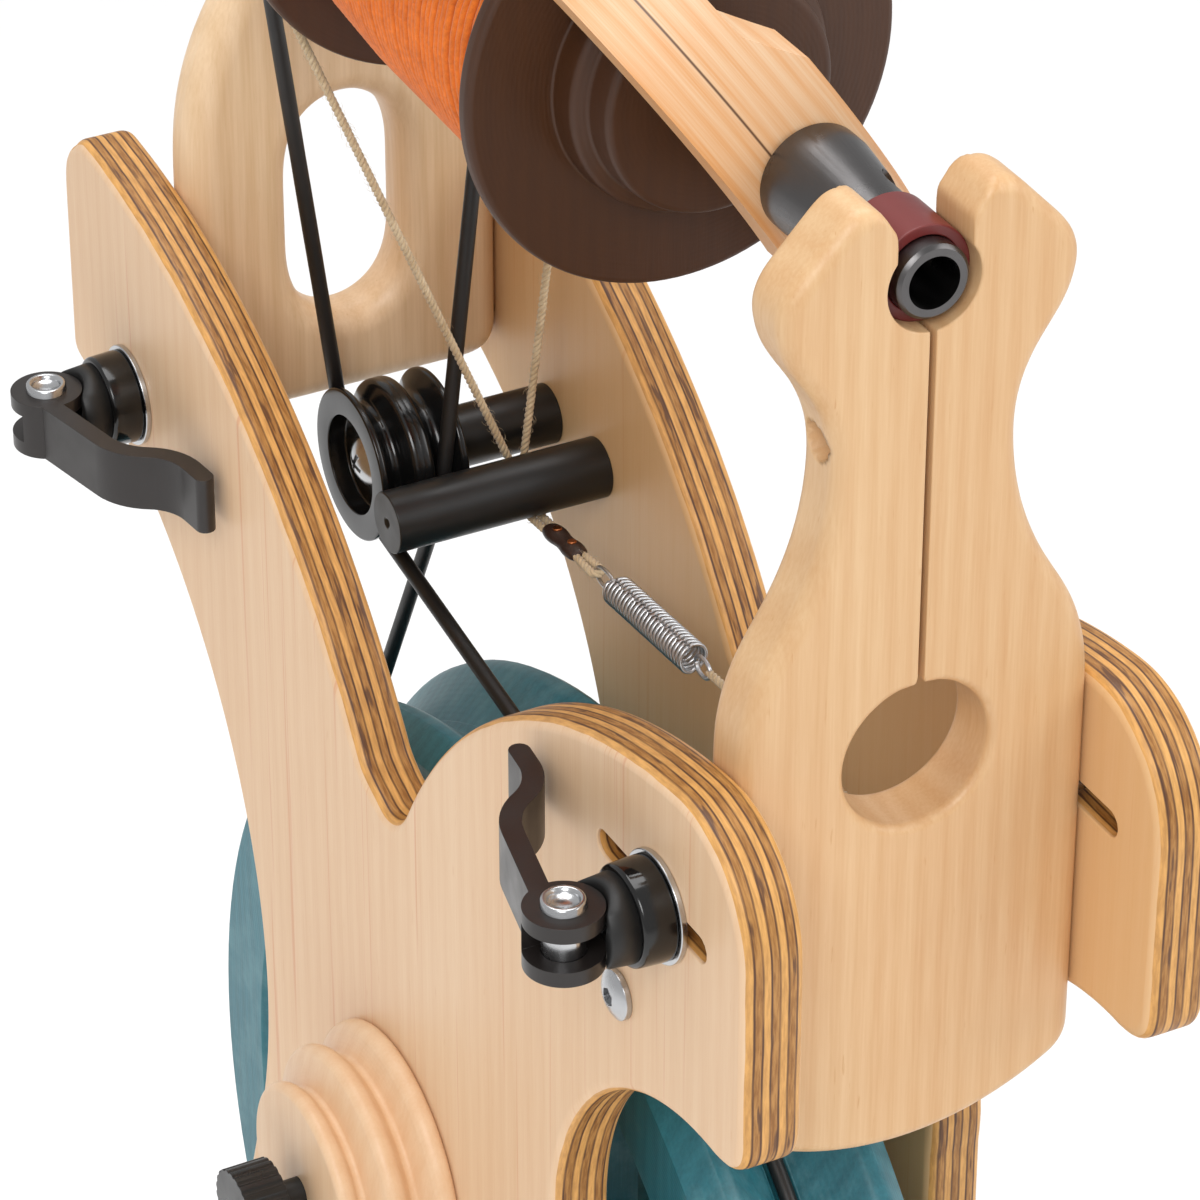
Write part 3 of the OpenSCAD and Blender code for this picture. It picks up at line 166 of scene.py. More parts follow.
def linear(code):
    """An sRGB hex colour as linear red, green, blue and alpha."""
    value = np.array([int(code[i:i + 2], 16) for i in (1, 3, 5)]) / 255
    low, high = value / 12.92, ((value + 0.055) / 1.055) ** 2.4
    return (*np.where(value <= 0.04045, low, high).tolist(), 1.0)


def colour(name, description, code):
    """A colour property whose default is an sRGB hex value."""
    return FloatVectorProperty(name=name, description=description, default=linear(code), size=4,
                               subtype="COLOR", min=0.0, max=1.0)


def length(name, description, millimetres):
    """A length property whose default is given in millimetres."""
    return FloatProperty(name=name, description=description, default=millimetres * MM, min=0.0,
                         unit="LENGTH", precision=5)


class WheelSizes(bpy.types.PropertyGroup):
    """Sizes of the edges, cords and windings."""
    panel_edge: length("Panel edge", "Radius of the rounded edges of the side panels", 3.2)
    front_edge: length("Front maiden edge", "Radius of the rounded edges of the front maiden", 3.9)
    rear_edge: length("Rear maiden edge", "Radius of the rounded edges of the rear maiden", 7.0)
    treadle_edge: length("Treadle edge", "Radius of the rounded edges of the treadles", 3.0)
    wood_edge: length("Small wood edge", "Radius of the edges of levers, footmen and flyer", 1.6)
    wheel_edge: length("Wheel edge", "Radius of the edges of the drive wheel", 1.0)
    turned_edge: length("Turned edge", "Radius of the edges of bobbin and whorls", 0.9)
    metal_edge: length("Metal edge", "Radius of the broken edges of metal and plastic", 0.4)
    twine: length("Twine", "Diameter of the brake twine", 2.3)
    twine_lay: length("Twine lay", "Length of one turn of the twine's strands", 5.0)
    belt: length("Belt", "Diameter of the drive belt", 4.0)
    spring_wire: length("Spring wire", "Diameter of the brake spring's wire", 1.1)
    yarn: length("Yarn", "Diameter of the wound yarn", 2.2)
    yarn_turns: IntProperty(name="Yarn turns", description="Turns of the outer layer of yarn", default=49,
                            min=10)
    hairs: IntProperty(name="Hairs", description="Loose fibres on the brake twine", default=800, min=0)


class WheelColours(bpy.types.PropertyGroup):
    """Colours of the materials, as they look in white light."""
    veneer: colour("Veneer", "Face veneer of the panels", "#E5C4A0")
    veneer_warm: colour("Veneer figure", "Darker figure in the face veneer", "#DCB48C")
    veneer_line: colour("Veneer lines", "Long reddish lines in the face veneer", "#D8A580")
    # The inner veneer colour is painted light: a golden tint that stands in for warm bounce light on the
    # panels' inner faces.
    veneer_bounce_light: colour("Painted bounce light", "Painted warm bounce light on the panels' inner faces", "#D9AB6E")
    ply_long: colour("Long ply", "Inner plies cut along the grain", "#DCA45C")
    ply_end: colour("End ply", "Inner plies cut across the grain", "#875620")
    glue: colour("Glue line", "Glue between the plies", "#4C2B19")
    maple: colour("Maple", "Solid maple boards", "#DAB68A")
    maple_warm: colour("Maple figure", "Warm streaks in the maple", "#C99A69")
    # The pale maple colour is painted light: the rear maiden's board is made paler to stand in for front
    # light falling on it.
    maple_painted_light: colour("Maple with painted light", "Rear maiden's maple made paler as painted front light", "#F0D2AE")
    flyer_warm: colour("Flyer streaks", "Orange streaks in the flyer's lamination", "#D6924F")
    teal: colour("Teal", "Teal stain of the drive wheel", "#327C89")
    teal_dark: colour("Dark teal", "Stain where the grain took more", "#1F5D6A")
    teal_worn: colour("Worn teal", "Stain rubbed thin", "#80A9AF")
    brown: colour("Brown", "Brown stain of the bobbin", "#442408")
    brown_dark: colour("Dark brown", "Brown stain in the grain", "#3B1E07")
    black: colour("Black", "Black anodised metal", "#171717")
    lever: colour("Lever", "Dark coating of the clamp levers", "#26211F")
    plastic: colour("Plastic", "Black moulded plastic", "#121212")
    steel: colour("Steel", "Plated steel", "#C8C9CB")
    dark_steel: colour("Dark steel", "Blackened steel of the orifice", "#666464")
    bush: colour("Bush", "Red-brown plastic of the bushes", "#742B29")
    rubber: colour("Rubber", "Rubber of the feet", "#2A2927")
    belt: colour("Belt", "Drive belt", "#1A1817")
    twine: colour("Twine", "Brake twine", "#DDC9A6")
    twine_dark: colour("Twine shade", "Darker fibres of the twine", "#B0946B")
    leather: colour("Leather", "Crimped tab of the brake", "#38251C")
    copper: colour("Copper", "Rivets of the brake tab", "#C77B4E")
    yarn: colour("Yarn", "Wool on the bobbin", "#EC7A1C")
    yarn_dark: colour("Yarn shade", "Darker fibres of the wool", "#C55E12")


def add(tree, kind, inputs=None, **settings):
    """Adds one node: settings are its options, inputs its values or the sockets linked to it. Gives the
    node's first output."""
    node = tree.nodes.new("ShaderNode" + kind)
    for name, value in settings.items():
        setattr(node, name, value)
    for name, value in (inputs or {}).items():
        if isinstance(value, bpy.types.NodeSocket):
            tree.links.new(value, node.inputs[name])
        else:
            node.inputs[name].default_value = value
    return node.outputs[0]


def begin(name, centre=(0, 0, 0), turn=(0, 0, 0), **constants):
    """A new material with a Principled shader whose constant sockets are set. Gives the material, its
    tree, the shader's inputs, and the place in millimetres from the centre, turned with the piece."""
    made = bpy.data.materials.new(name)
    made.use_nodes = True
    tree = made.node_tree
    shader = tree.nodes["Principled BSDF"].inputs
    for socket, value in constants.items():
        shader[socket.replace("_", " ")].default_value = value
    place = add(tree, "TexCoord").node.outputs["Object"]
    mm = add(tree, "Mapping", {"Vector": place, "Location": [MM * value for value in centre],
                               "Rotation": turn, "Scale": (MM, MM, MM)}, vector_type="TEXTURE")
    return made, tree, shader, mm


def finish(tree, shader, tint, height, strength, gleam=None, depth=0.3):
    """Links a colour, a bump with its depth in millimetres, and the roughness where it varies: gleam is a
    socket, the least and most of it that count, and the roughness for each."""
    tree.links.new(tint, shader["Base Color"])
    bump = add(tree, "Bump", {"Height": height, "Strength": strength, "Distance": depth * MM})
    tree.links.new(bump, shader["Normal"])
    if gleam:
        inputs = dict(zip(("Value", "From Min", "From Max", "To Min", "To Max"), gleam))
        tree.links.new(add(tree, "MapRange", inputs), shader["Roughness"])


def patches(tree, where, size, low, high, detail=2.0, grit=0.5, to=(0.0, 1.0)):
    """Cloudy patches about size millimetres across: noise up to low gives the first value of to, noise
    from high on the second."""
    noise = add(tree, "TexNoise", {"Vector": where, "Scale": 1 / size, "Detail": detail, "Roughness": grit})
    return add(tree, "MapRange", {"Value": noise, "From Min": low, "From Max": high,
                                  "To Min": to[0], "To Max": to[1]})


def figure(tree, mm, grain, across, band, pale, warm):
    """Wood figure drawn out along the grain: broad tone of about 30 mm, growth bands, and fibres of
    about 0.8 mm. Gives the colour and the fibres' height."""
    drawn = add(tree, "VectorMath", {0: mm, 1: grain}, operation="MULTIPLY")
    broad = add(tree, "TexNoise", {"Vector": drawn, "Scale": 1 / 30, "Detail": 3.0, "Distortion": 0.4})
    bands = add(tree, "TexWave", {"Vector": drawn, "Scale": 2 * math.pi / (20 * band), "Distortion": 7.0,
                                  "Detail": 3.0, "Detail Scale": 0.5, "Detail Roughness": 0.6},
                bands_direction=across, wave_profile="SIN")
    fibres = add(tree, "TexNoise", {"Vector": drawn, "Scale": 1 / 0.8, "Detail": 4.0, "Roughness": 0.62})
    tone = add(tree, "Math", {0: broad, 1: 0.55}, operation="MULTIPLY")
    for part, share in ((bands, 0.14), (fibres, 0.55)):
        tone = add(tree, "Math", {0: part, 1: share, 2: tone}, operation="MULTIPLY_ADD")
    tone = add(tree, "MapRange", {"Value": tone, "From Min": 0.38, "From Max": 0.88})
    return add(tree, "MixRGB", {"Fac": tone, "Color1": pale, "Color2": warm}), fibres


def flecks(tree, mm, grain, size, share, base, dark):
    """Short dark flecks, about size millimetres across and drawn out along the grain, over a colour."""
    drawn = add(tree, "VectorMath", {0: mm, 1: grain}, operation="MULTIPLY")
    mask = patches(tree, drawn, size, 1 - share, 1 - share + 0.08)
    return add(tree, "MixRGB", {"Fac": mask, "Color1": base, "Color2": dark})


def plies(tree, mm, depth, hues):
    """Colours of a plywood's cut edge by the depth in it: pale plies along the grain, dark ones across it
    with knots, and broken glue lines between them."""
    layer = add(tree, "Math", {0: depth, 1: OUTER_PLY}, operation="SUBTRACT")
    thick = (PANEL_THICK - 2 * OUTER_PLY) / INNER_PLIES
    layer = add(tree, "Math", {0: layer, 1: thick}, operation="DIVIDE")
    crosswise = add(tree, "Math", {0: layer}, operation="FLOOR")
    crosswise = add(tree, "Math", {0: crosswise, 1: 1.0}, operation="ADD")
    crosswise = add(tree, "Math", {0: crosswise, 1: 1.0}, operation="PINGPONG")
    drawn = add(tree, "VectorMath", {0: mm, 1: (1.0, 0.12, 0.12)}, operation="MULTIPLY")
    streak = patches(tree, drawn, 0.7, 0.36, 0.64, 4.0, 0.6, (0.0, 0.42))
    streak = add(tree, "Math", {0: crosswise, 1: 0.55, 2: streak}, operation="MULTIPLY_ADD")
    tint = add(tree, "MixRGB", {"Fac": streak, "Color1": hues.ply_long, "Color2": hues.ply_end})
    knots = patches(tree, drawn, 1.6, 0.58, 0.66, to=(0.0, 0.8))
    knots = add(tree, "Math", {0: knots, 1: crosswise}, operation="MULTIPLY")
    tint = add(tree, "MixRGB", {"Fac": knots, "Color1": tint, "Color2": hues.glue})
    line = add(tree, "Math", {0: layer, 1: 0.5}, operation="PINGPONG")
    line = add(tree, "MapRange", {"Value": line, "From Min": 0.07, "From Max": 0.17,
                                  "To Min": 1.0, "To Max": 0.0})
    broken = patches(tree, drawn, 2.2, 0.34, 0.56, 3.0, to=(0.5, 0.95))
    half = INNER_PLIES / 2
    among = add(tree, "Math", {0: layer, 1: half, 2: half + 0.5}, operation="COMPARE")
    for mask in (broken, among):
        line = add(tree, "Math", {0: line, 1: mask}, operation="MULTIPLY")
    return add(tree, "MixRGB", {"Fac": line, "Color1": tint, "Color2": hues.glue})


def veneered_plywood(hues):
    """Maple-faced plywood, sanded and oiled: a soft pale face with faint upright figure, a golden tint of
    painted warm bounce light on the inner side, and on every cut edge the dark glue lines between light and
    amber plies."""
    made, tree, shader, mm = begin("Maple_plywood_oiled", IOR=1.5)
    face, fibres = figure(tree, mm, (1, 1, 0.035), "Y", 7.0, hues.veneer, hues.veneer_warm)
    face = flecks(tree, mm, (1, 1, 0.12), 1.3, 0.30, face, hues.veneer_warm)
    face = flecks(tree, mm, (0.2, 1, 0.012), 1.8, 0.36, face, hues.veneer_line)
    x = add(tree, "SeparateXYZ", {"Vector": mm})
    x = add(tree, "Math", {0: x}, operation="ABSOLUTE")
    wander = add(tree, "TexNoise", {"Vector": mm, "Scale": 1 / 14, "Detail": 2.0})
    x = add(tree, "Math", {0: wander, 1: 0.5, 2: x}, operation="MULTIPLY_ADD")
    depth = add(tree, "Math", {0: x, 1: PANEL_INNER + 0.25}, operation="SUBTRACT")
    # Painted warm bounce light: faces on the inner half of the panel's thickness are tinted golden.
    inner = add(tree, "Math", {0: depth, 1: PANEL_THICK / 2}, operation="LESS_THAN")
    inner = add(tree, "Math", {0: inner, 1: 0.6}, operation="MULTIPLY")
    face = add(tree, "MixRGB", {"Fac": inner, "Color1": face, "Color2": hues.veneer_bounce_light})
    reach = PANEL_THICK / 2 - VENEER
    inside = add(tree, "Math", {0: depth, 1: PANEL_THICK / 2, 2: reach}, operation="COMPARE")
    edge = plies(tree, mm, depth, hues)
    tint = add(tree, "MixRGB", {"Fac": inside, "Color1": face, "Color2": edge})
    finish(tree, shader, tint, fibres, 0.10, (fibres, 0.0, 1.0, 0.40, 0.54))
    return made


def oiled_maple(name, shades, grain, across, band=6.0):
    """Hard maple, planed, sanded and oiled: straight fine grain with warm bands and a satin gleam."""
    made, tree, shader, mm = begin(name, IOR=1.5)
    pale, warm = shades
    tint, fibres = figure(tree, mm, grain, across, band, pale, warm)
    tint = flecks(tree, mm, tuple(min(1, 3 * g) for g in grain), 0.9, 0.29, tint, warm)
    finish(tree, shader, tint, fibres, 0.08, (fibres, 0.0, 1.0, 0.34, 0.50))
    return made


def laminated_maple(hues):
    """Maple strips bent and glued for the flyer: pale wood with orange streaks along the arms and one
    dark glue line down the middle of each arm's outer face."""
    made, tree, shader, mm = begin("Laminated_maple_bent", (0, 0, FLYER_Z), (0, FLYER_TURN, 0), IOR=1.5)
    tint, fibres = figure(tree, mm, (2.2, 0.03, 0.03), "X", 9.0, hues.veneer, hues.flyer_warm)
    parts = add(tree, "SeparateXYZ", {"Vector": mm}).node.outputs
    upper = add(tree, "Math", {0: parts["Z"]}, operation="SIGN")
    line = add(tree, "Math", {0: upper, 1: 4.0, 2: parts["X"]}, operation="MULTIPLY_ADD")
    line = add(tree, "Math", {0: line}, operation="ABSOLUTE")
    line = add(tree, "MapRange", {"Value": line, "From Min": 0.12, "From Max": 0.4,
                                  "To Min": 0.9, "To Max": 0.0})
    tint = add(tree, "MixRGB", {"Fac": line, "Color1": tint, "Color2": hues.glue})
    finish(tree, shader, tint, fibres, 0.08, (fibres, 0.0, 1.0, 0.32, 0.48))
    return made


def tool_rings(tree, mm, axis, spacing, share, fibres):
    """Height of wood from a lathe: the fibres, and the sine of the distance from the axis, one wave per
    spacing in millimetres, times its share."""
    flat = tuple(0.0 if i == axis else 1.0 for i in range(3))
    ring = add(tree, "VectorMath", {0: mm, 1: flat}, operation="MULTIPLY")
    ring = add(tree, "VectorMath", {0: ring}, operation="LENGTH").node.outputs["Value"]
    ring = add(tree, "Math", {0: ring, 1: 2 * math.pi / spacing}, operation="MULTIPLY")
    ring = add(tree, "Math", {0: ring}, operation="SINE")
    return add(tree, "Math", {0: ring, 1: share, 2: fibres}, operation="MULTIPLY_ADD")


def turned_maple(hues, name, axis, centre):
    """Maple turned on a lathe: the board's bands run straight across while fine tool rings go round."""
    made, tree, shader, mm = begin(name, centre, IOR=1.5)
    across = "Y" if axis == 0 else "X"
    tint, fibres = figure(tree, mm, (1, 1, 0.05), across, 7.0, hues.veneer, hues.veneer_warm)
    height = tool_rings(tree, mm, axis, 0.9, 0.25, fibres)
    finish(tree, shader, tint, height, 0.08, (fibres, 0.0, 1.0, 0.34, 0.50))
    return made


def stained_wood(name, axis, centre, shades, rough, worn=0.0):
    """Close-grained wood, turned, stained through and waxed: the grain takes the stain unevenly, tool
    rings catch a soft gleam and the rubbed patches are paler."""
    made, tree, shader, mm = begin(name, centre, IOR=1.48)
    pale, dark, rubbed = shades
    tint, fibres = figure(tree, mm, (1, 1, 0.07), "Y" if axis == 0 else "X", 5.0, pale, dark)
    slow = add(tree, "TexNoise", {"Vector": mm, "Scale": 1 / 18, "Detail": 5.0, "Roughness": 0.65})
    mask = add(tree, "MapRange", {"Value": slow, "From Min": 0.5, "From Max": 0.75, "To Max": worn})
    tint = add(tree, "MixRGB", {"Fac": mask, "Color1": tint, "Color2": rubbed})
    height = tool_rings(tree, mm, axis, 1.2, 0.2, fibres)
    finish(tree, shader, tint, height, 0.14, (slow, 0.0, 1.0, rough - 0.06, rough + 0.08))
    return made


def metal(hue, name, rough, grit, metallic=1.0, strength=0.05):
    """Machined or plated metal, or moulded plastic where metallic is zero: fine grit breaks the gleam, and
    slow patches of handling make it a little duller here and there."""
    made, tree, shader, mm = begin(name, Metallic=metallic)
    fine = add(tree, "TexNoise", {"Vector": mm, "Scale": 1 / grit, "Detail": 2.0})
    shade = tuple(0.8 * c for c in hue[:3]) + (1.0,)
    slow = add(tree, "TexNoise", {"Vector": mm, "Scale": 1 / 9, "Detail": 3.0})
    tint = add(tree, "MixRGB", {"Fac": slow, "Color1": hue, "Color2": shade})
    finish(tree, shader, tint, fine, strength, (slow, 0.3, 0.7, rough - 0.05, rough + 0.07), 0.2)
    return made


def spun_fibre(name, pale, dark, lay, rough, fuzz):
    """Spun fibre: fine fibres lie along the strand, pale and dark in streaks and slow patches, with a soft
    dry sheen.
    """
    made, tree, shader, mm = begin(name, Roughness=rough, Sheen_Weight=fuzz, Sheen_Roughness=0.6, IOR=1.45)
    uv = add(tree, "TexCoord").node.outputs["UV"]
    drawn = add(tree, "VectorMath", {0: uv, 1: (5.0, 1 / lay, 1.0)}, operation="MULTIPLY")
    fibres = add(tree, "TexNoise", {"Vector": drawn, "Scale": 1.0, "Detail": 4.0, "Roughness": 0.7})
    slow = add(tree, "TexNoise", {"Vector": mm, "Scale": 1 / 7, "Detail": 2.0})
    tone = add(tree, "Math", {0: slow, 1: 0.6, 2: fibres}, operation="MULTIPLY_ADD")
    tone = add(tree, "MapRange", {"Value": tone, "From Min": 0.55, "From Max": 1.05})
    tint = add(tree, "MixRGB", {"Fac": tone, "Color1": pale, "Color2": dark})
    finish(tree, shader, tint, fibres, 0.5, depth=0.2)
    return made


def stand_for(node, name, mesh, material):
    """An object with the mesh and material in the place of a CAD node: on its body, with the material in its
    one slot.
    """
    mesh.materials.clear()
    mesh.materials.append(material)
    made = bpy.data.objects.new(name, mesh)
    bpy.context.scene.collection.objects.link(made)
    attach(made, BODY[node])
    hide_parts(node)
    return made


def soften(material, edge, *nodes, segments=3):
    """Copies of CAD nodes with rounded edges: the loose triangles are merged, flat faces joined, and each
    edge sharper than the edge angle gets an arc of the given radius."""
    for node in nodes:
        mesh = frame["nodes"][node].data.copy()
        for name in ("custom_normal", "sharp_edge", "sharp_face"):
            if name in mesh.attributes:
                mesh.attributes.remove(mesh.attributes[name])
        mesh.shade_smooth()
        made = stand_for(node, node + "_softened", mesh, material)
        made.modifiers.new("Weld", "WELD").merge_threshold = WELD_GAP
        flat = made.modifiers.new("Join flat faces", "DECIMATE")
        flat.decimate_type, flat.angle_limit = "DISSOLVE", FLAT_ANGLE
        bevel = made.modifiers.new("Edge", "BEVEL")
        bevel.limit_method, bevel.angle_limit = "ANGLE", EDGE_ANGLE
        bevel.width, bevel.segments, bevel.use_clamp_overlap = edge, segments, True
        made.modifiers.new("Even light", "WEIGHTED_NORMAL").weight = SOFT_LEAD


def piece(name, shape, material, node):
    """A new piece in the place of a CAD node. A shape is points in metres, faces and, where its material
    needs it, each face corner's place round and along."""
    points, faces, *spots = shape
    mesh = bpy.data.meshes.new(name)
    mesh.from_pydata(points.tolist(), [], faces)
    for spot in spots:
        mesh.uv_layers.new(name="lay").data.foreach_set("uv", spot.ravel())
    mesh.polygons.foreach_set("use_smooth", np.ones(len(mesh.polygons), bool))
    mesh.validate()
    return stand_for(node, name, mesh, material)


def together(parts):
    """Several shapes as one: points and face corners stacked, with each shape's numbers moved on."""
    points, faces, spots, count = [], [], [], 0
    for shape_points, shape_faces, shape_spots in parts:
        points.append(shape_points)
        faces += [[corner + count for corner in face] for face in shape_faces]
        spots.append(shape_spots)
        count += len(shape_points)
    return np.vstack(points), faces, np.vstack(spots)


def placed(points):
    """Points in millimetres, Y from the axle, as metres in the part's frame."""
    return (np.asarray(points, float) + (0, AXLE_Y, 0)) * MM


def unit(rows):
    """Rows of directions, each brought to length one."""
    return rows / np.linalg.norm(rows, axis=1, keepdims=True)


def lengths(points):
    """Length along a line of points, from its start to each of them."""
    return np.concatenate([[0], np.cumsum(np.linalg.norm(np.diff(points, axis=0), axis=1))])


def arc(centre, first, second, radius, start, end, count):
    """Points on a circle: centre plus radius times the cosine of the angle along the first axis and its
    sine along the second, with angles in degrees at equal steps."""
    turn = np.radians(np.linspace(start, end, count))[:, None]
    return np.asarray(centre, float) + radius * (np.cos(turn) * first + np.sin(turn) * second)


def route(parts, step, closed=False):
    """Stretches of a route in millimetres, each with its guide direction, as one line at equal steps: each
    coordinate and the guide are read off at equal lengths along it. Gives points, guides and lengths, in
    metres."""
    points = placed(np.vstack([part for part, _ in parts]))
    guides = np.vstack([np.broadcast_to(guide, part.shape) for part, guide in parts])
    if closed:
        points, guides = np.vstack([points, points[:1]]), np.vstack([guides, guides[:1]])
    way = lengths(points)
    count = max(4, int(round(way[-1] / step)))
    at = np.linspace(0, way[-1], count + 1)[:-1 if closed else None]
    read = np.column_stack([np.interp(at, way, column) for column in np.hstack([points, guides]).T])
    return read[:, :3], read[:, 3:], at


def axes(path, guides, closed=False):
    """Two directions square to the path at each point: the guide, which may be one for all points, squared
    to the path, and the third."""
    ahead = np.roll(path, -1, 0) - np.roll(path, 1, 0) if closed else np.gradient(path, axis=0)
    along = unit(ahead)
    side = unit(guides - (guides * along).sum(1, keepdims=True) * along)
    return side, np.cross(along, side)


def quads(rings, sides, closed=False):
    """Faces between each ring of points and the next, with the points numbered ring by ring."""
    i, k = np.arange(rings if closed else rings - 1)[:, None], np.arange(sides)
    ahead, after = (i + 1) % rings * sides, (k + 1) % sides
    return np.stack([i * sides + k, i * sides + after, ahead + after, ahead + k], -1).reshape(-1, 4)


def ends(rings, sides):
    """The first ring of points as a face that looks back, and the last as one that looks ahead."""
    ring = np.arange(sides)
    return np.stack([ring[::-1], ring + (rings - 1) * sides])


def tube(path, guides, radius, sides, way, closed=False, flat=1.0):
    """A round section carried along a path: corner k of each ring lies at the radius, turned from the
    guide by k / sides of a turn, and flat narrows it square to the guide. Gives points, faces, and each
    face corner's place round and along."""
    side, rise = axes(path, guides, closed)
    rings, turn = len(path), 2 * np.pi * np.arange(sides)[:, None] / sides
    ring = side[:, None] * np.cos(turn) + rise[:, None] * flat * np.sin(turn)
    points = path[:, None] + ring * np.reshape(radius, (-1, 1, 1))
    faces = quads(rings, sides, closed).tolist()
    along = np.asarray(way)[:len(faces) // sides, None]
    spots = np.stack(np.broadcast_arrays(np.arange(sides) / sides, along), -1)
    corners = np.array([(0, 0), (1, 0), (1, 1), (0, 1)]) * (1 / sides, way[1] - way[0])
    spots = (spots[:, :, None] + corners).reshape(-1, 2)
    if not closed:
        faces += ends(rings, sides).tolist()
        spots = np.vstack([spots, np.zeros((2 * sides, 2))])
    return points.reshape(-1, 3), faces, spots


def rounded(corners, count=7):
    """A closed outline of radii and places from corners, each with the radius of its rounding: an arc's
    middle lies on the line that halves the corner, at that radius over the sine of half the corner's
    angle, and the arc touches both sides."""
    corners, radii = np.split(np.asarray(corners, float), [2], axis=1)
    back, ahead = (unit(np.roll(corners, way, 0) - corners) for way in (1, -1))
    half = np.arccos(np.clip((back * ahead).sum(1, keepdims=True), -1, 1)) / 2
    middle = corners + unit(back + ahead) * radii / np.sin(half)
    first, last = (corners + side * radii / np.tan(half) - middle for side in (back, ahead))
    sweep, t = (np.pi - 2 * half)[:, None], np.linspace(0, 1, count)[None, :, None]
    arcs = (first[:, None] * np.sin((1 - t) * sweep) + last[:, None] * np.sin(t * sweep)) / np.sin(sweep)
    return (middle[:, None] + arcs).reshape(-1, 2).T


def lathe(profile, centre, along, sides=LATHE_SIDES, tips=None):
    """An outline of radii and places carried round an axis, all in millimetres: corner k of each ring lies
    at the radius, turned by k / sides of a turn. The places may differ round the axis, as one column per
    corner. The outline is closed, or with tips, two places on the axis, a fan closes either end."""
    radius, place = (np.asarray(row, float) for row in profile)
    rings, turn = len(radius), 2 * np.pi * np.arange(sides)[:, None] / sides
    first = np.roll(along, 1)
    ring = np.cos(turn) * first + np.sin(turn) * np.cross(along, first)
    place = np.broadcast_to(place.reshape(rings, -1), (rings, sides))
    points = (centre + place[:, :, None] * along + radius[:, None, None] * ring).reshape(-1, 3)
    faces = quads(rings, sides, tips is None).tolist()
    if tips:
        for tip, loop in enumerate(ends(rings, sides).tolist(), len(points)):
            faces += [[corner, after, tip] for corner, after in zip(loop, loop[1:] + loop[:1])]
        points = np.vstack([points, centre + np.outer(tips, along)])
    return points * MM, faces


def outlines(node, axis, side):
    """Closed outlines of a flat plate's face, in millimetres on the two other axes, the outer one first:
    edges that only one triangle of the face has are chained, with the wood on their left."""
    mesh = frame["nodes"][node].data
    points = np.empty(3 * len(mesh.vertices))
    mesh.vertices.foreach_get("co", points)
    points = points.reshape(-1, 3) / MM - (0, AXLE_Y, 0)
    mesh.calc_loop_triangles()
    corners = np.empty(3 * len(mesh.loop_triangles), int)
    mesh.loop_triangles.foreach_get("vertices", corners)
    corners = corners.reshape(-1, 3)
    level = points[:, axis].max() if side > 0 else points[:, axis].min()
    corners = corners[(np.abs(points[:, axis] - level) < 0.005)[corners].all(1)]
    flat = np.delete(points, axis, 1)
    # points within the same hundredth of a millimetre count as one
    cells = np.floor(flat * 100 + 0.3137)
    _, first, number = np.unique(cells, axis=0, return_index=True, return_inverse=True)
    corners = number.ravel()[corners]
    corners = corners[(corners != np.roll(corners, 1, 1)).all(1)]
    pairs = np.vstack([corners[:, (0, 1)], corners[:, (1, 2)], corners[:, (2, 0)]])
    pairs = set(map(tuple, pairs.tolist()))
    after = {a: b for a, b in pairs if (b, a) not in pairs}
    loops = []
    while after:
        chain = list(after.popitem())
        while chain[-1] != chain[0]:
            chain.append(after.pop(chain[-1]))
        loops.append(flat[first[chain[:-1]]])
    areas = [x @ np.roll(y, -1) - y @ np.roll(x, -1) for x, y in (loop.T for loop in loops)]
    outer = int(np.argmax(np.abs(areas)))
    loops.insert(0, loops.pop(outer))
    return [loop[::-1] if areas[outer] < 0 else loop for loop in loops]


def spread(values, reach):
    """Each row's mean with its neighbours round a closed line, as many on each side as reach says."""
    count, most = len(values), int(reach.max())
    around = np.vstack([np.zeros((1, values.shape[1])), values[count - most:], values, values[:most + 1]])
    total = np.cumsum(around, axis=0)
    at = np.arange(count) + most
    return (total[at + reach + 1] - total[at - reach]) / (2 * reach + 1)[:, None]


def cap(loops):
    """Triangles between the first loop and the others, its holes: a Delaunay filling that keeps the loops'
    edges, without the triangles that have all corners on one hole."""
    loop = np.repeat(np.arange(len(loops)), [len(spots) for spots in loops])
    first = np.searchsorted(loop, loop)
    ahead = first + (np.arange(len(loop)) - first + 1) % np.bincount(loop)[loop]
    sides = np.column_stack([np.arange(len(loop)), ahead]).tolist()
    _, _, filled, names, _, _ = delaunay_2d_cdt(np.vstack(loops).tolist(), sides, [], 1, 1e-6)
    filled = np.array([name[0] for name in names])[np.array(filled)]
    on = loop[filled]
    return filled[(on != on[:, :1]).any(1) | (on[:, 0] == 0)]


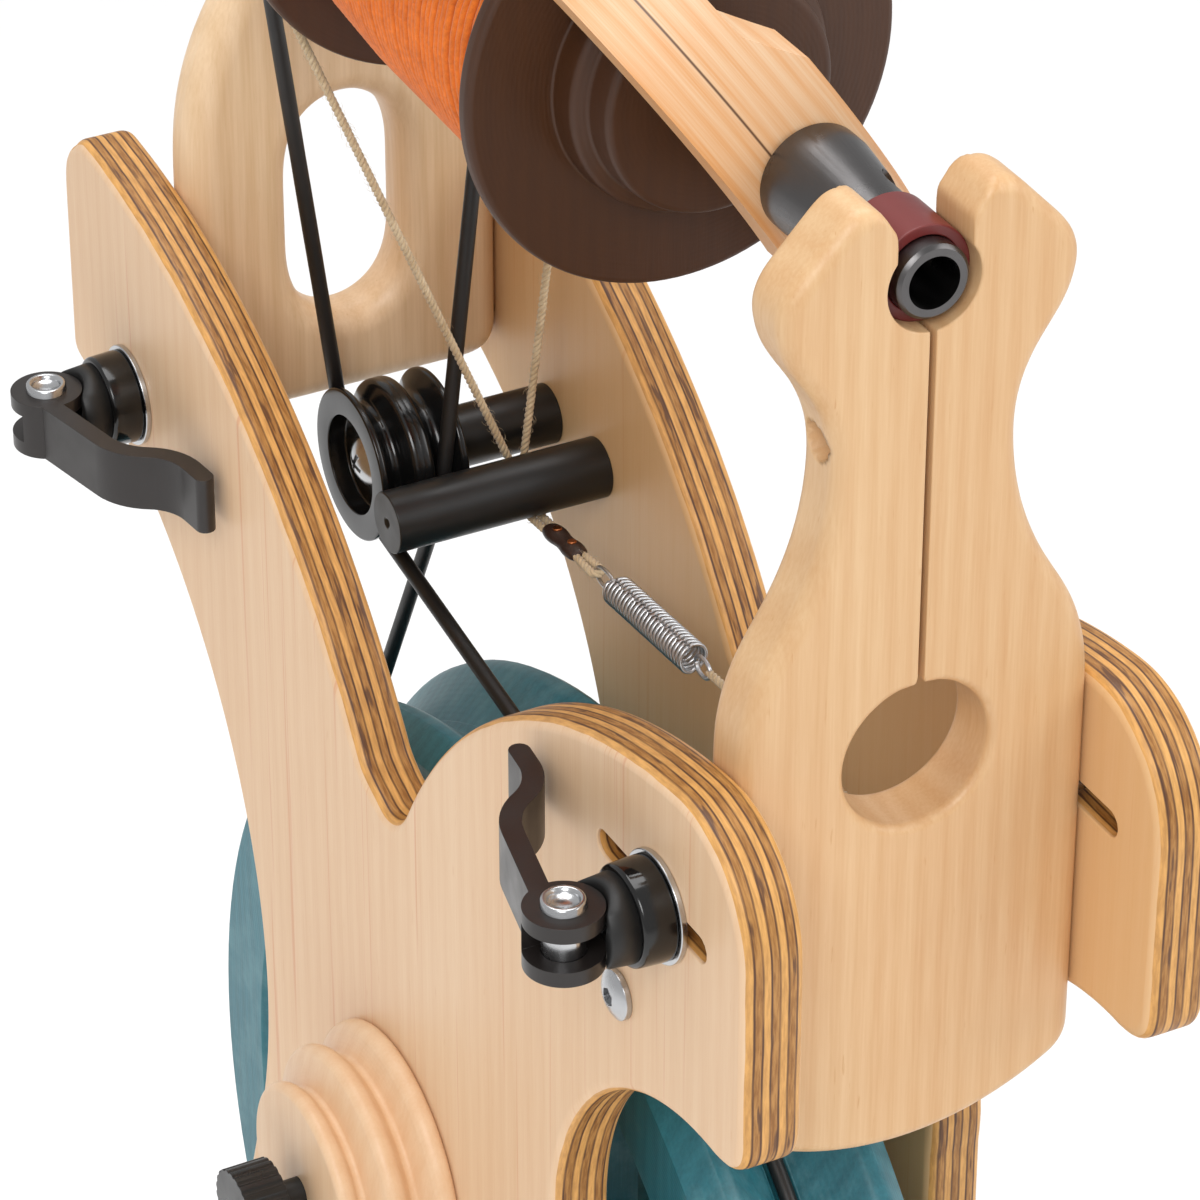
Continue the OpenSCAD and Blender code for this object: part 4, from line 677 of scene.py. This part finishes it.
def plate(node, axis, side, edge, step, seat=0.0, dent=None):
    """A board with round edges along its outlines: they are read at equal steps, eased over about the
    radius that edge gives for each place, and carried from face to face with a quarter circle at both
    ends: at an angle, the line lies one minus its sine times the radius inside and one minus its cosine
    times the radius below the face. A hole that is wider on the other face widens at the seat's depth, and
    one that doesn't reach it is left out, as its peg fills it. A dent is a round pocket in the wall: its
    place along and across, radius and depth."""
    low, high = box_of(node)[:, axis] - (AXLE_Y if axis == 1 else 0)
    angle = np.linspace(0, np.pi / 2, EDGE_ROWS)
    rings, faces, fronts, backs, count = [], [], [], [], 0
    others = outlines(node, axis, -side)
    for loop in outlines(node, axis, side):
        middle = loop.min(0) + loop.max(0)
        twins = [other for other in others if np.abs(middle - other.min(0) - other.max(0)).max() < 0.2]
        if not twins:
            continue
        wider = np.ptp(twins[0], axis=0).mean() / 2 - np.ptp(loop, axis=0).mean() / 2
        closed = np.vstack([loop, loop[:1]])
        way = lengths(closed)
        total = max(40, int(way[-1] / step))
        gap = way[-1] / total
        at = np.linspace(0, way[-1], total + 1)[:-1]
        line = np.column_stack([np.interp(at, way, column) for column in closed.T])
        radius = spread(edge(*line.T)[:, None], np.full(total, int(3 / gap)))[:, 0]
        line = spread(line, np.minimum((1.5 * radius / gap).astype(int), total // 6))
        ahead = np.roll(line, -1, 0) - np.roll(line, 1, 0)
        out = unit(np.column_stack([ahead[:, 1], -ahead[:, 0]]))
        inset = np.outer(1 - np.sin(angle), radius)
        below = np.outer(1 - np.cos(angle), radius)
        wall = np.linspace(0, 1, WALL_ROWS)[1:-1, None] * (high - low - 2 * radius) + low + radius
        inset = np.vstack([inset, np.zeros_like(wall), inset[::-1]])
        level = np.vstack([low + below, wall, high - below[::-1]])
        if wider > 0.1:
            inset = inset + wider * (np.abs(level - (low if side > 0 else high)) < seat)
        if dent:
            along, across, size, depth = dent
            away = np.hypot(np.where(out[:, 0] < 0, line[:, 1] - along, 99), level - across) / size
            inset = inset + depth * np.clip(2.2 - 2.2 * away ** 6, 0, 1) * (line[:, 0] < 0)
        spots = line - out * inset[:, :, None]
        rings.append(np.insert(spots, axis, level, axis=2).reshape(-1, 3))
        faces.append(count + quads(len(level), total))
        fronts.append((spots[0], count + np.arange(total)))
        count += level.size
        backs.append((spots[-1], count - total + np.arange(total)))
    faces = np.vstack(faces).tolist()
    for loops, order in ((fronts, -1), (backs, 1)):
        number = np.concatenate([numbers for _, numbers in loops])
        faces += number[cap([spots for spots, _ in loops])[:, ::order]].tolist()
    if axis == 1:
        faces = [face[::-1] for face in faces]
    return placed(np.vstack(rings)), faces


def sanded(node, material, *shape, **extras):
    """A plate, by plate's own arguments, in the place of a CAD node, with its light evened by the size of
    the faces."""
    made = piece(node + "_sanded", plate(node, *shape, **extras), material, node)
    made.modifiers.new("Even light", "WEIGHTED_NORMAL").weight = SANDED_LEAD


def loose_hairs(path, side, rise, thick, hairs, seed):
    """Loose fibres of a twine, for t from 0 to 1 from root to tip: each rises from the surface with the
    sine of 1.6 t and runs along it with 1.5 t squared plus 0.4 t, times its reach, and its three-cornered
    section gets thinner to the tip."""
    draw = np.random.default_rng(seed)
    at = draw.integers(4, len(path) - 4, hairs)
    spin = draw.uniform(0, 2 * np.pi, hairs)[:, None]
    out = side[at] * np.cos(spin) + rise[at] * np.sin(spin)
    ahead = unit(np.gradient(path, axis=0)[at]) * draw.choice([-1, 1], hairs)[:, None]
    reach = draw.uniform(0.5, 1.1, hairs)[:, None, None] * HAIR_REACH
    t = np.linspace(0, 1, 4)[:, None]
    bend = out[:, None] * np.sin(1.6 * t) + ahead[:, None] * (1.5 * t * t + 0.4 * t)
    lines = (path[at] + out * HAIR_ROOT * thick)[:, None] + bend * reach
    corner = np.array([[1, 0], [-0.5, 0.87], [-0.5, -0.87]]) * HAIR_R
    ring = np.cross(out, ahead)[:, None] * corner[:, :1] + out[:, None] * corner[:, 1:]
    points = lines[:, :, None] + ring[:, None] * np.array([1, 0.9, 0.7, 0.3])[:, None, None]
    base = np.arange(hairs)[:, None, None] * 12
    faces = (base + quads(4, 3)).reshape(-1, 4).tolist() + (base + ends(4, 3)).reshape(-1, 3).tolist()
    return points.reshape(-1, 3), faces, np.zeros((sum(map(len, faces)), 2))


def twine(parts, sizes, hairs, seed):
    """Three-strand twine: each strand's middle runs round the route's line at about four fifths of the
    strand's own radius, one turn per lay, and loose hairs stand off."""
    thick, lay = sizes.twine, sizes.twine_lay
    path, guides, way = route(parts, lay / 12)
    side, rise = axes(path, guides)
    strands = []
    for k in range(3):
        turn = (2 * np.pi * way / lay + 2 * np.pi * k / 3)[:, None]
        out = side * np.cos(turn) + rise * np.sin(turn)
        strands.append(tube(path + out * STRAND_OUT * thick, out, STRAND_R * thick, 7, way / MM))
    return together([*strands, loose_hairs(path, side, rise, thick, hairs, seed)])


def tangent(x, z, radius, side):
    """Angle in degrees, round the flyer's axis, where a line from (x, z) touches a circle."""
    gap = math.hypot(x, z - FLYER_Z)
    return math.degrees(math.atan2(z - FLYER_Z, x) + side * math.acos(radius / gap))


def round_belt(thick):
    """The belt: arcs round the wheel, an idler, the whorl and the other idler, joined by straight runs. A
    run from wheel to idler crosses the line between their middles, so the angle to where it touches has
    the sum of both radii over the middles' distance as its cosine. A run up to the whorl leans by the
    angle whose tangent is how far the idler's edge lies off the whorl's plane, over the rise."""
    idler, wheel = np.array(IDLER), np.array([0.0, AXLE_Z])
    away = wheel - idler
    lean = math.degrees(math.atan2(away[1], away[0]))
    open_ = math.degrees(math.acos((IDLER_BELT_R + WHEEL_BELT_R) / np.linalg.norm(away)))
    rise = FLYER_Z - IDLER[1]
    lean_left = math.degrees(math.atan2(IDLER[0] + IDLER_BELT_R - WHORL_Y, rise))
    lean_right = math.degrees(math.atan2(WHORL_Y - IDLER[0] + IDLER_BELT_R, rise))
    left, right = IDLER_GROOVES
    start = tangent(right, IDLER[1], WHORL_BELT_R, 1)
    end = tangent(left, IDLER[1], WHORL_BELT_R, -1) + 360
    parts = [
        (arc((0, *wheel), Y, Z, WHEEL_BELT_R, lean + open_ + 180, lean - open_ + 540, 160), X),
        (arc((right, *idler), Y, Z, IDLER_BELT_R, lean - open_ + 360, 180 - lean_right, 16), X),
        (arc((0, WHORL_Y, FLYER_Z), X, Z, WHORL_BELT_R, start, end, 60), Y),
        (arc((left, *idler), Y, Z, IDLER_BELT_R, lean_left, lean + open_, 30), X),
    ]
    path, guides, way = route(parts, 2.2 * MM, True)
    return tube(path, guides, thick / 2, 14, way / MM, True)


def brake_line(across, forward, up):
    """Points on the brake's straight line: forward from under the rod to the eye, rising on the way."""
    start = np.array([CORD_X, ROD_Y, ROD_Z - CORD_C])
    away = np.array([0.0, EYE_Y - start[1], EYE_Z - start[2]])
    away /= np.linalg.norm(away)
    steps = (across, X), (forward, away), (up, np.cross(away, X))
    return start + sum(np.multiply.outer(amount, way) for amount, way in steps)


def brake_cord(sizes):
    """The brake's cord: from the tab under the rod, up and round the bobbin's groove and back the same way
    on the other side, and a small loop from the tab through the spring's near hook."""
    left, right = CORD_X - CORD_APART, CORD_X + CORD_APART
    start, end = tangent(left, ROD_Z, LOOP_R, -1) + 360, tangent(right, ROD_Z, LOOP_R, 1)
    parts = [
        (brake_line([-CORD_APART] * 2, [TAB_AT, TAB_AT / 2], 0), X),
        (arc((left, ROD_Y, ROD_Z), Y, Z, CORD_C, -90, 0, 20), X),
        (arc((0, LOOP_Y, FLYER_Z), X, Z, LOOP_R, start, end, 90), Y),
        (arc((right, ROD_Y, ROD_Z), Y, Z, CORD_C, 0, -90, 20), X),
        (brake_line([CORD_APART] * 2, [TAB_AT / 2, TAB_AT], 0), X),
    ]
    half = np.linspace(0, np.pi, 30)
    across = np.concatenate([[-0.9], -1.5 * np.cos(half), [0.9]])
    inside, bight = SPRING_AT - 3, HOOK_NEAR - 5.5
    forward = np.concatenate([[inside], bight + 1.9 * np.sin(half), [inside]])
    loop = twine([(brake_line(across, forward, 0), Z)], sizes, sizes.hairs // 12, LOOP_SEED)
    return together([twine(parts, sizes, sizes.hairs, CORD_SEED), loop])


def brake_coil(wire):
    """The brake's spring: a helix of equal pitch whose radius eases in and out over 0.4 of a turn by three
    squares less two cubes, between two oval hooks of cosine along and sine up."""
    turns = np.linspace(0, SPRING_N, SPRING_N * 28 + 1)
    ease = np.clip(np.minimum(turns, SPRING_N - turns) / 0.4, 0, 1)
    radius = SPRING_R * ease * ease * (3 - 2 * ease)
    angle, hook = 2 * np.pi * turns, np.linspace(0, 2 * np.pi, 60)
    coil = brake_line(radius * np.cos(angle), COIL_AT + SPRING_PITCH * turns, radius * np.sin(angle))
    near = brake_line(0, HOOK_NEAR + HOOK_NEAR_HALF * np.cos(hook), HOOK_RISE * np.sin(hook))
    far = brake_line(0, HOOK_FAR - HOOK_FAR_HALF * np.cos(hook), HOOK_RISE * np.sin(hook))
    path, guides, way = route([(np.vstack([near, coil, far]), X * 0.9 + Z * 0.3 + Y * 0.1)], 0.6 * MM)
    return tube(path, guides, wire / 2, 8, way / MM)


def crimped_tab():
    """The brake's tab: a flattened tube along the line that swells twice, with the cosine of two turns, and
    closes at both ends with the fourteenth power of the distance from its middle."""
    along = np.linspace(0, 1, 41)
    swell = 2.75 - 0.22 * np.cos(4 * np.pi * along) - 1.2 * np.abs(2 * along - 1) ** 14
    path = placed(brake_line(0, TAB_AT + TAB_L * along, 0))
    return tube(path, X, swell * MM, 28, TAB_L * along, flat=0.68)


def clamp_saddle():
    """Outline of the saddle on a clamp's cup: it is hollowed round a line across it by a radius less the
    root of its square minus the square of the distance from that line, up to a greatest depth, slopes off
    at the rim, and has its foot in the cup."""
    radius = np.array([2.9, 5.0, 7.0, 8.6, 9.5, 9.9, 10.4, 2.9])
    slope = np.array([0, 0, 0, 0, 0.1, 0.6, 0, 0])[:, None]
    across = np.outer(radius, np.cos(2 * np.pi * np.arange(LATHE_SIDES) / LATHE_SIDES))
    hollow = SADDLE_R - np.sqrt(np.maximum(SADDLE_R ** 2 - across ** 2, 0))
    place = SADDLE_TOP - np.minimum(hollow, SADDLE_DEPTH) + slope
    place[-2:] = SADDLE_FOOT
    return radius, place


def wound_yarn(sizes):
    """Yarn on the bobbin: one winding whose turns move on evenly, swayed by two sines, at the radius of the
    wound shape for the place along it, over a solid core a little inside."""
    first, last = box_of("yarn")[:, 1] - AXLE_Y
    wide, thick = last - first, sizes.yarn / MM
    places = first + np.array([0, 8, 26, wide - 40, wide - 12, wide])
    outer = np.array([37, 43, 45, 44, 42, 36.0])
    turns = np.linspace(0, sizes.yarn_turns, sizes.yarn_turns * 44 + 1)
    sway = 0.35 * np.sin(turns * 2.1) + 0.25 * np.sin(turns * 5.3 + 1)
    along = first + thick * 0.6 + (wide - thick * 1.2) * turns / sizes.yarn_turns + sway
    along = np.clip(along, first + thick * 0.52, last - thick * 0.52)
    radius = np.interp(along, places, outer) - thick * 0.52
    angle = 2 * np.pi * turns
    out = np.outer(np.cos(angle), X) + np.outer(np.sin(angle), Z)
    path = placed(radius[:, None] * out + np.outer(along, Y) + FLYER_Z * Z)
    winding = tube(path, out, sizes.yarn / 2, 8, lengths(path) / MM)
    rows = np.linspace(first, last, 60)
    swell = np.interp(rows, places, outer) - thick * 0.95
    core = tube(placed(np.outer(rows, Y) + FLYER_Z * Z), X, swell * MM, 64, rows)
    return together([winding, core])


def chosen(context):
    """The scene's colours and sizes."""
    return context.scene.wheel_colours, context.scene.wheel_sizes


class WHEEL_OT_frame(bpy.types.Operator):
    """Side panels, spreaders, bolts, bearings and feet"""
    bl_idname = "wheel.frame"
    bl_label = "Frame"

    def execute(self, context):
        hues, sizes = chosen(context)
        ply = veneered_plywood(hues)

        def panel_edge(y, z):
            return np.full_like(y, sizes.panel_edge / MM if np.ptp(y) > 200 else 0.4)

        seat = box_of("axle_bearings")[1, 0] - PANEL_INNER + 1.0
        for side, sign in (("left", -1), ("right", 1)):
            sanded("side_panel_" + side, ply, 0, sign, panel_edge, PANEL_STEP, seat=seat)
        rods = oiled_maple("Maple_dowel_oiled", (hues.maple, hues.maple_warm), (0.05, 1, 1), "Y", 4.0)
        soften(rods, sizes.metal_edge, "front_spreader", "lower_spreaders")
        steel = metal(hues.steel, "Zinc_plated_steel", 0.26, 0.6)
        soften(steel, sizes.metal_edge * 0.5, "frame_bolts", "axle_bearings", segments=2)
        soften(metal(hues.rubber, "Moulded_rubber", 0.75, 0.5, 0.0, 0.2), sizes.metal_edge * 3, "rubber_feet")
        return {"FINISHED"}


class WHEEL_OT_drive(bpy.types.Operator):
    """Drive wheel, axle and crank pins"""
    bl_idname = "wheel.drive"
    bl_label = "Drive wheel"

    def execute(self, context):
        hues, sizes = chosen(context)
        stain = stained_wood("Teal_stained_wood_waxed", 0, (0, AXLE_Y, AXLE_Z),
                             (hues.teal, hues.teal_dark, hues.teal_worn), 0.42, 0.35)
        soften(stain, sizes.wheel_edge, "drive_wheel")
        soften(metal(hues.steel, "Turned_steel", 0.28, 0.5), sizes.metal_edge, "wheel_axle", "crank_pins")
        return {"FINISHED"}


class WHEEL_OT_treadles(bpy.types.Operator):
    """Treadles, their levers and pins, and the footmen"""
    bl_idname = "wheel.treadles"
    bl_label = "Treadles"

    def execute(self, context):
        hues, sizes = chosen(context)
        shades = (hues.maple, hues.maple_warm)
        plank = oiled_maple("Maple_treadle_oiled", shades, (1, 0.04, 1), "X", 8.0)
        rod = oiled_maple("Maple_footman_oiled", shades, (1, 1, 0.04), "Y", 4.0)
        steel = metal(hues.steel, "Drawn_steel_pin", 0.28, 0.5)
        for side in ("left", "right"):
            soften(plank, sizes.treadle_edge, "treadle_" + side)
            soften(plank, sizes.wood_edge, "treadle_lever_" + side)
            soften(rod, sizes.metal_edge * 2, "footman_" + side)
            soften(steel, sizes.metal_edge, "treadle_pin_" + side, "footman_pin_" + side)
        soften(steel, sizes.metal_edge, "treadle_axle")
        return {"FINISHED"}


class WHEEL_OT_maidens(bpy.types.Operator):
    """Front and rear maiden with their bushes"""
    bl_idname = "wheel.maidens"
    bl_label = "Maidens"

    def execute(self, context):
        hues, sizes = chosen(context)
        wood = oiled_maple("Maple_board_oiled", (hues.maple, hues.maple_warm), (1, 1, 0.03), "X")
        # The pale maple material is a lit copy of the maple board: painted front light on the rear maiden.
        pale = oiled_maple("Maple_board_painted_light_oiled", (hues.maple_painted_light, hues.maple), (1, 1, 0.03), "X")

        def front_edge(x, z):
            slit = (np.abs(x) < 2) & (z < FLYER_Z) & (z > HOLE_Z)
            bore = np.hypot(x, z - FLYER_Z) < 16
            hole = np.hypot(x, z - HOLE_Z) < 20
            notch = (np.abs(x) < 13) & (z > FLYER_Z + 8)
            return np.select([slit, bore, hole, notch], [0.3, 0.6, 2.2, 1.5], sizes.front_edge / MM)

        def rear_edge(x, z):
            return np.full_like(x, 0.5 if np.ptp(x) < 25 else sizes.rear_edge / MM)

        sanded("front_maiden", wood, 1, -1, front_edge, MAIDEN_STEP, dent=NECK_DENT)
        sanded("rear_maiden", pale, 1, -1, rear_edge, MAIDEN_STEP)
        bush = metal(hues.bush, "Turned_nylon_bush", 0.38, 0.5, 0.0)
        soften(bush, sizes.metal_edge, "orifice_bush", "rear_bush")
        return {"FINISHED"}


class WHEEL_OT_clamps(bpy.types.Operator):
    """Quick-release clamps of both maidens"""
    bl_idname = "wheel.clamps"
    bl_label = "Clamps"

    def execute(self, context):
        hues, sizes = chosen(context)
        coated = metal(hues.lever, "Powder_coated_aluminium", 0.33, 0.35, 0.0, 0.06)
        gloss = metal(hues.plastic, "Black_moulded_nylon", 0.14, 0.8, 0.0, 0.03)
        satin = metal(hues.black, "Black_nylon_spacer", 0.50, 0.4, 0.0, 0.1)
        steel = metal(hues.steel, "Plated_clamp_steel", 0.22, 0.5)
        for clamp in ("front_clamp_", "rear_clamp_"):
            soften(coated, sizes.metal_edge * 2.5, clamp + "lever")
            at = face_of(clamp + "cup", 1)
            piece(clamp + "cup_turned", lathe(rounded(CUP), at, X), gloss, clamp + "cup")
            piece(clamp + "saddle", lathe(clamp_saddle(), at, X), satin, clamp + "cup")
            soften(coated, sizes.metal_edge, clamp + "nut")
            barrel = lathe((BARREL_R, BARREL_AT), middle_of(clamp + "barrel"), Z, 64, BARREL_TIPS)
            piece(clamp + "barrel_turned", barrel, steel, clamp + "barrel")
            soften(steel, sizes.metal_edge * 0.7, clamp + "washer", clamp + "rod")
        return {"FINISHED"}


class WHEEL_OT_idlers(bpy.types.Operator):
    """Idler pulleys, their post and screw, and the brake rod"""
    bl_idname = "wheel.idlers"
    bl_label = "Idlers"

    def execute(self, context):
        hues, sizes = chosen(context)
        gloss = metal(hues.plastic, "Black_turned_acetal", 0.18, 0.8, 0.0, 0.03)
        satin = metal(hues.black, "Black_anodised_rod", 0.36, 0.4, 0.0, 0.06)
        for side, outline in (("left", IDLER_LEFT), ("right", IDLER_RIGHT)):
            node = "idler_pulley_" + side
            pulley = lathe(rounded(outline), face_of(node, 0), X, 128)
            piece("idler_" + side + "_turned", pulley, gloss, node)
        soften(satin, sizes.metal_edge, "idler_post", "brake_rod")
        soften(metal(hues.steel, "Plated_screw_steel", 0.22, 0.5), sizes.metal_edge * 0.5, "idler_screw")
        return {"FINISHED"}


class WHEEL_OT_belt(bpy.types.Operator):
    """Drive belt over the wheel, the idlers and the whorl"""
    bl_idname = "wheel.belt"
    bl_label = "Drive belt"

    def execute(self, context):
        hues, sizes = chosen(context)
        rubber = metal(hues.belt, "Polyurethane_belt_extruded", 0.46, 0.7, 0.0, 0.08)
        piece("round_belt", round_belt(sizes.belt), rubber, "drive_belt")
        return {"FINISHED"}


class WHEEL_OT_brake(bpy.types.Operator):
    """Brake twine, tab, rivets, spring, tail and eye"""
    bl_idname = "wheel.brake"
    bl_label = "Brake"

    def execute(self, context):
        hues, sizes = chosen(context)
        fibre = spun_fibre("Jute_twine_spun", hues.twine, hues.twine_dark, 1.2, 0.85, 0.3)
        piece("brake_twine", brake_cord(sizes), fibre, "brake_cord")
        tail = brake_line(0, np.linspace(SPRING_END - 1.0, EYE_AT - EYE_R - 1.4, 40), 0)
        tail = twine([(tail, X)], sizes, sizes.hairs // 5, TAIL_SEED)
        piece("brake_twine_tail", tail, fibre, "brake_tail")
        wire = metal(hues.steel, "Spring_steel_wire_drawn", 0.34, 0.4)
        piece("brake_coil", brake_coil(sizes.spring_wire), wire, "brake_spring")
        leather = metal(hues.leather, "Leather_tab_dyed", 0.42, 0.6, 0.0, 0.35)
        piece("brake_tab_crimped", crimped_tab(), leather, "brake_tab")
        soften(metal(hues.copper, "Copper_rivet_set", 0.3, 0.5), sizes.metal_edge * 0.6, "brake_rivets")
        soften(metal(hues.steel, "Plated_screw_eye", 0.25, 0.5), sizes.metal_edge * 0.5, "brake_eye")
        return {"FINISHED"}


class WHEEL_OT_bobbin(bpy.types.Operator):
    """Bobbin with its wound yarn"""
    bl_idname = "wheel.bobbin"
    bl_label = "Bobbin"

    def execute(self, context):
        hues, sizes = chosen(context)
        brown = stained_wood("Brown_stained_maple_waxed", 1, (0, 0, FLYER_Z),
                             (hues.brown, hues.brown_dark, hues.brown), 0.5)
        soften(brown, sizes.turned_edge, "bobbin")
        wool = spun_fibre("Wool_yarn_spun", hues.yarn, hues.yarn_dark, 1.6, 0.9, 0.15)
        piece("wound_yarn", wound_yarn(sizes), wool, "yarn")
        return {"FINISHED"}


class WHEEL_OT_flyer(bpy.types.Operator):
    """Flyer: yoke, orifice tube, shaft, hooks and whorl"""
    bl_idname = "wheel.flyer"
    bl_label = "Flyer"

    def execute(self, context):
        hues, sizes = chosen(context)
        soften(laminated_maple(hues), sizes.wood_edge, "flyer_yoke", segments=4)
        soften(metal(hues.dark_steel, "Blackened_steel_turned", 0.3, 0.5), sizes.metal_edge, "flyer_tube")
        soften(metal(hues.steel, "Ground_steel_shaft", 0.2, 0.5), sizes.metal_edge, "flyer_shaft")
        soften(metal(hues.steel, "Plated_wire_hooks", 0.22, 0.5), sizes.metal_edge * 0.5, "flyer_hooks")
        whorl = turned_maple(hues, "Maple_whorl_turned", 1, (0, 0, FLYER_Z))
        soften(whorl, sizes.turned_edge, "flyer_whorl")
        return {"FINISHED"}


class WHEEL_OT_spare(bpy.types.Operator):
    """Spare whorl on its peg, with the knob that holds it"""
    bl_idname = "wheel.spare"
    bl_label = "Spare whorl"

    def execute(self, context):
        hues, sizes = chosen(context)
        wood = turned_maple(hues, "Maple_spare_whorl_turned", 0, middle_of("spare_whorl"))
        bore = np.ptp(box_of("whorl_peg")[:, 1]) / 2 + 0.02
        rim = np.ptp(box_of("spare_whorl")[:, 2]) / 2
        corners = [(bore, 0, 0.1), (rim, 0, 2.0), (rim, 4.6, 3.6), *WHORL_STEPS, (bore, 26.4, 0.1)]
        whorl = lathe(rounded(corners), face_of("spare_whorl", 1), -X, 128)
        piece("spare_whorl_turned", whorl, wood, "spare_whorl")
        black = metal(hues.plastic, "Black_moulded_knob", 0.3, 0.6, 0.0, 0.06)
        soften(black, sizes.metal_edge * 0.6, "whorl_knob")
        soften(metal(hues.black, "Black_anodised_peg", 0.36, 0.4, 0.0), sizes.metal_edge, "whorl_peg")
        return {"FINISHED"}


def looking(way):
    """Turn of a lamp or camera that looks along a direction."""
    return way.to_track_quat("-Z", "Y").to_euler()


class WHEEL_OT_stage(bpy.types.Operator):
    """Pale floor, soft studio light and the camera"""
    bl_idname = "wheel.stage"
    bl_label = "Stage"

    def execute(self, context):
        scene = context.scene
        scene.view_settings.view_transform = "Standard"
        paper, tree, shader, mm = begin("Matte_white_paper", Roughness=0.9)
        mottle = add(tree, "TexNoise", {"Vector": mm, "Scale": 1 / 60, "Detail": 2.0})
        tint = add(tree, "MixRGB", {"Fac": mottle, "Color1": linear("#FBFBFB"), "Color2": linear("#F6F6F6")})
        tree.links.new(tint, shader["Base Color"])
        floor = bpy.data.meshes.new("studio_floor")
        corners = [(x * FLOOR_HALF, y * FLOOR_HALF, 0) for x, y in ((-1, -1), (1, -1), (1, 1), (-1, 1))]
        floor.from_pydata(corners, [], [(0, 1, 2, 3)])
        floor.materials.append(paper)
        sheet = bpy.data.objects.new("studio_floor", floor)
        scene.collection.objects.link(sheet)
        scene.world = bpy.data.worlds.new("studio")
        scene.world.use_nodes = True
        sky = scene.world.node_tree.nodes["Background"].inputs
        sky["Color"].default_value = linear("#FFFFFF")
        sky["Strength"].default_value = SKY_STRENGTH
        for name, spot, size, power in LAMPS:
            light = bpy.data.lights.new(name, "AREA")
            light.shape, light.size, light.energy = "DISK", size, power
            lamp = bpy.data.objects.new(name, light)
            lamp.location = spot
            lamp.rotation_euler = looking(LAMP_AIM - lamp.location)
            scene.collection.objects.link(lamp)
        lens = bpy.data.cameras.new("studio_camera")
        lens.lens, lens.sensor_width, lens.clip_end = CAMERA_LENS, CAMERA_SENSOR, CAMERA_REACH
        scene.camera = bpy.data.objects.new("studio_camera", lens)
        scene.camera.location = placed(CAMERA_AT)
        scene.camera.rotation_euler = looking(CAMERA_WAY)
        scene.collection.objects.link(scene.camera)
        return {"FINISHED"}


OPERATORS = (WHEEL_OT_stage, WHEEL_OT_frame, WHEEL_OT_drive, WHEEL_OT_treadles, WHEEL_OT_maidens,
             WHEEL_OT_clamps, WHEEL_OT_idlers, WHEEL_OT_belt, WHEEL_OT_brake, WHEEL_OT_bobbin,
             WHEEL_OT_flyer, WHEEL_OT_spare)


class WHEEL_PT_panel(bpy.types.Panel):
    """Lists the operators that finish the spinning wheel"""
    bl_label = "Spinning wheel"
    bl_idname = "WHEEL_PT_panel"
    bl_space_type = "VIEW_3D"
    bl_region_type = "UI"
    bl_category = "Spinning wheel"

    def draw(self, context):
        for operator in OPERATORS:
            self.layout.operator(operator.bl_idname)


CLASSES = (WheelSizes, WheelColours, *OPERATORS, WHEEL_PT_panel)


def register():
    for item in CLASSES:
        bpy.utils.register_class(item)
    bpy.types.Scene.wheel_sizes = PointerProperty(type=WheelSizes)
    bpy.types.Scene.wheel_colours = PointerProperty(type=WheelColours)


def unregister():
    del bpy.types.Scene.wheel_colours
    del bpy.types.Scene.wheel_sizes
    for item in reversed(CLASSES):
        bpy.utils.unregister_class(item)


def main():
    register()
    for operator in OPERATORS:
        group, name = operator.bl_idname.split(".")
        getattr(getattr(bpy.ops, group), name)()
    bpy.context.view_layer.update()


if __name__ == "__main__":
    main()
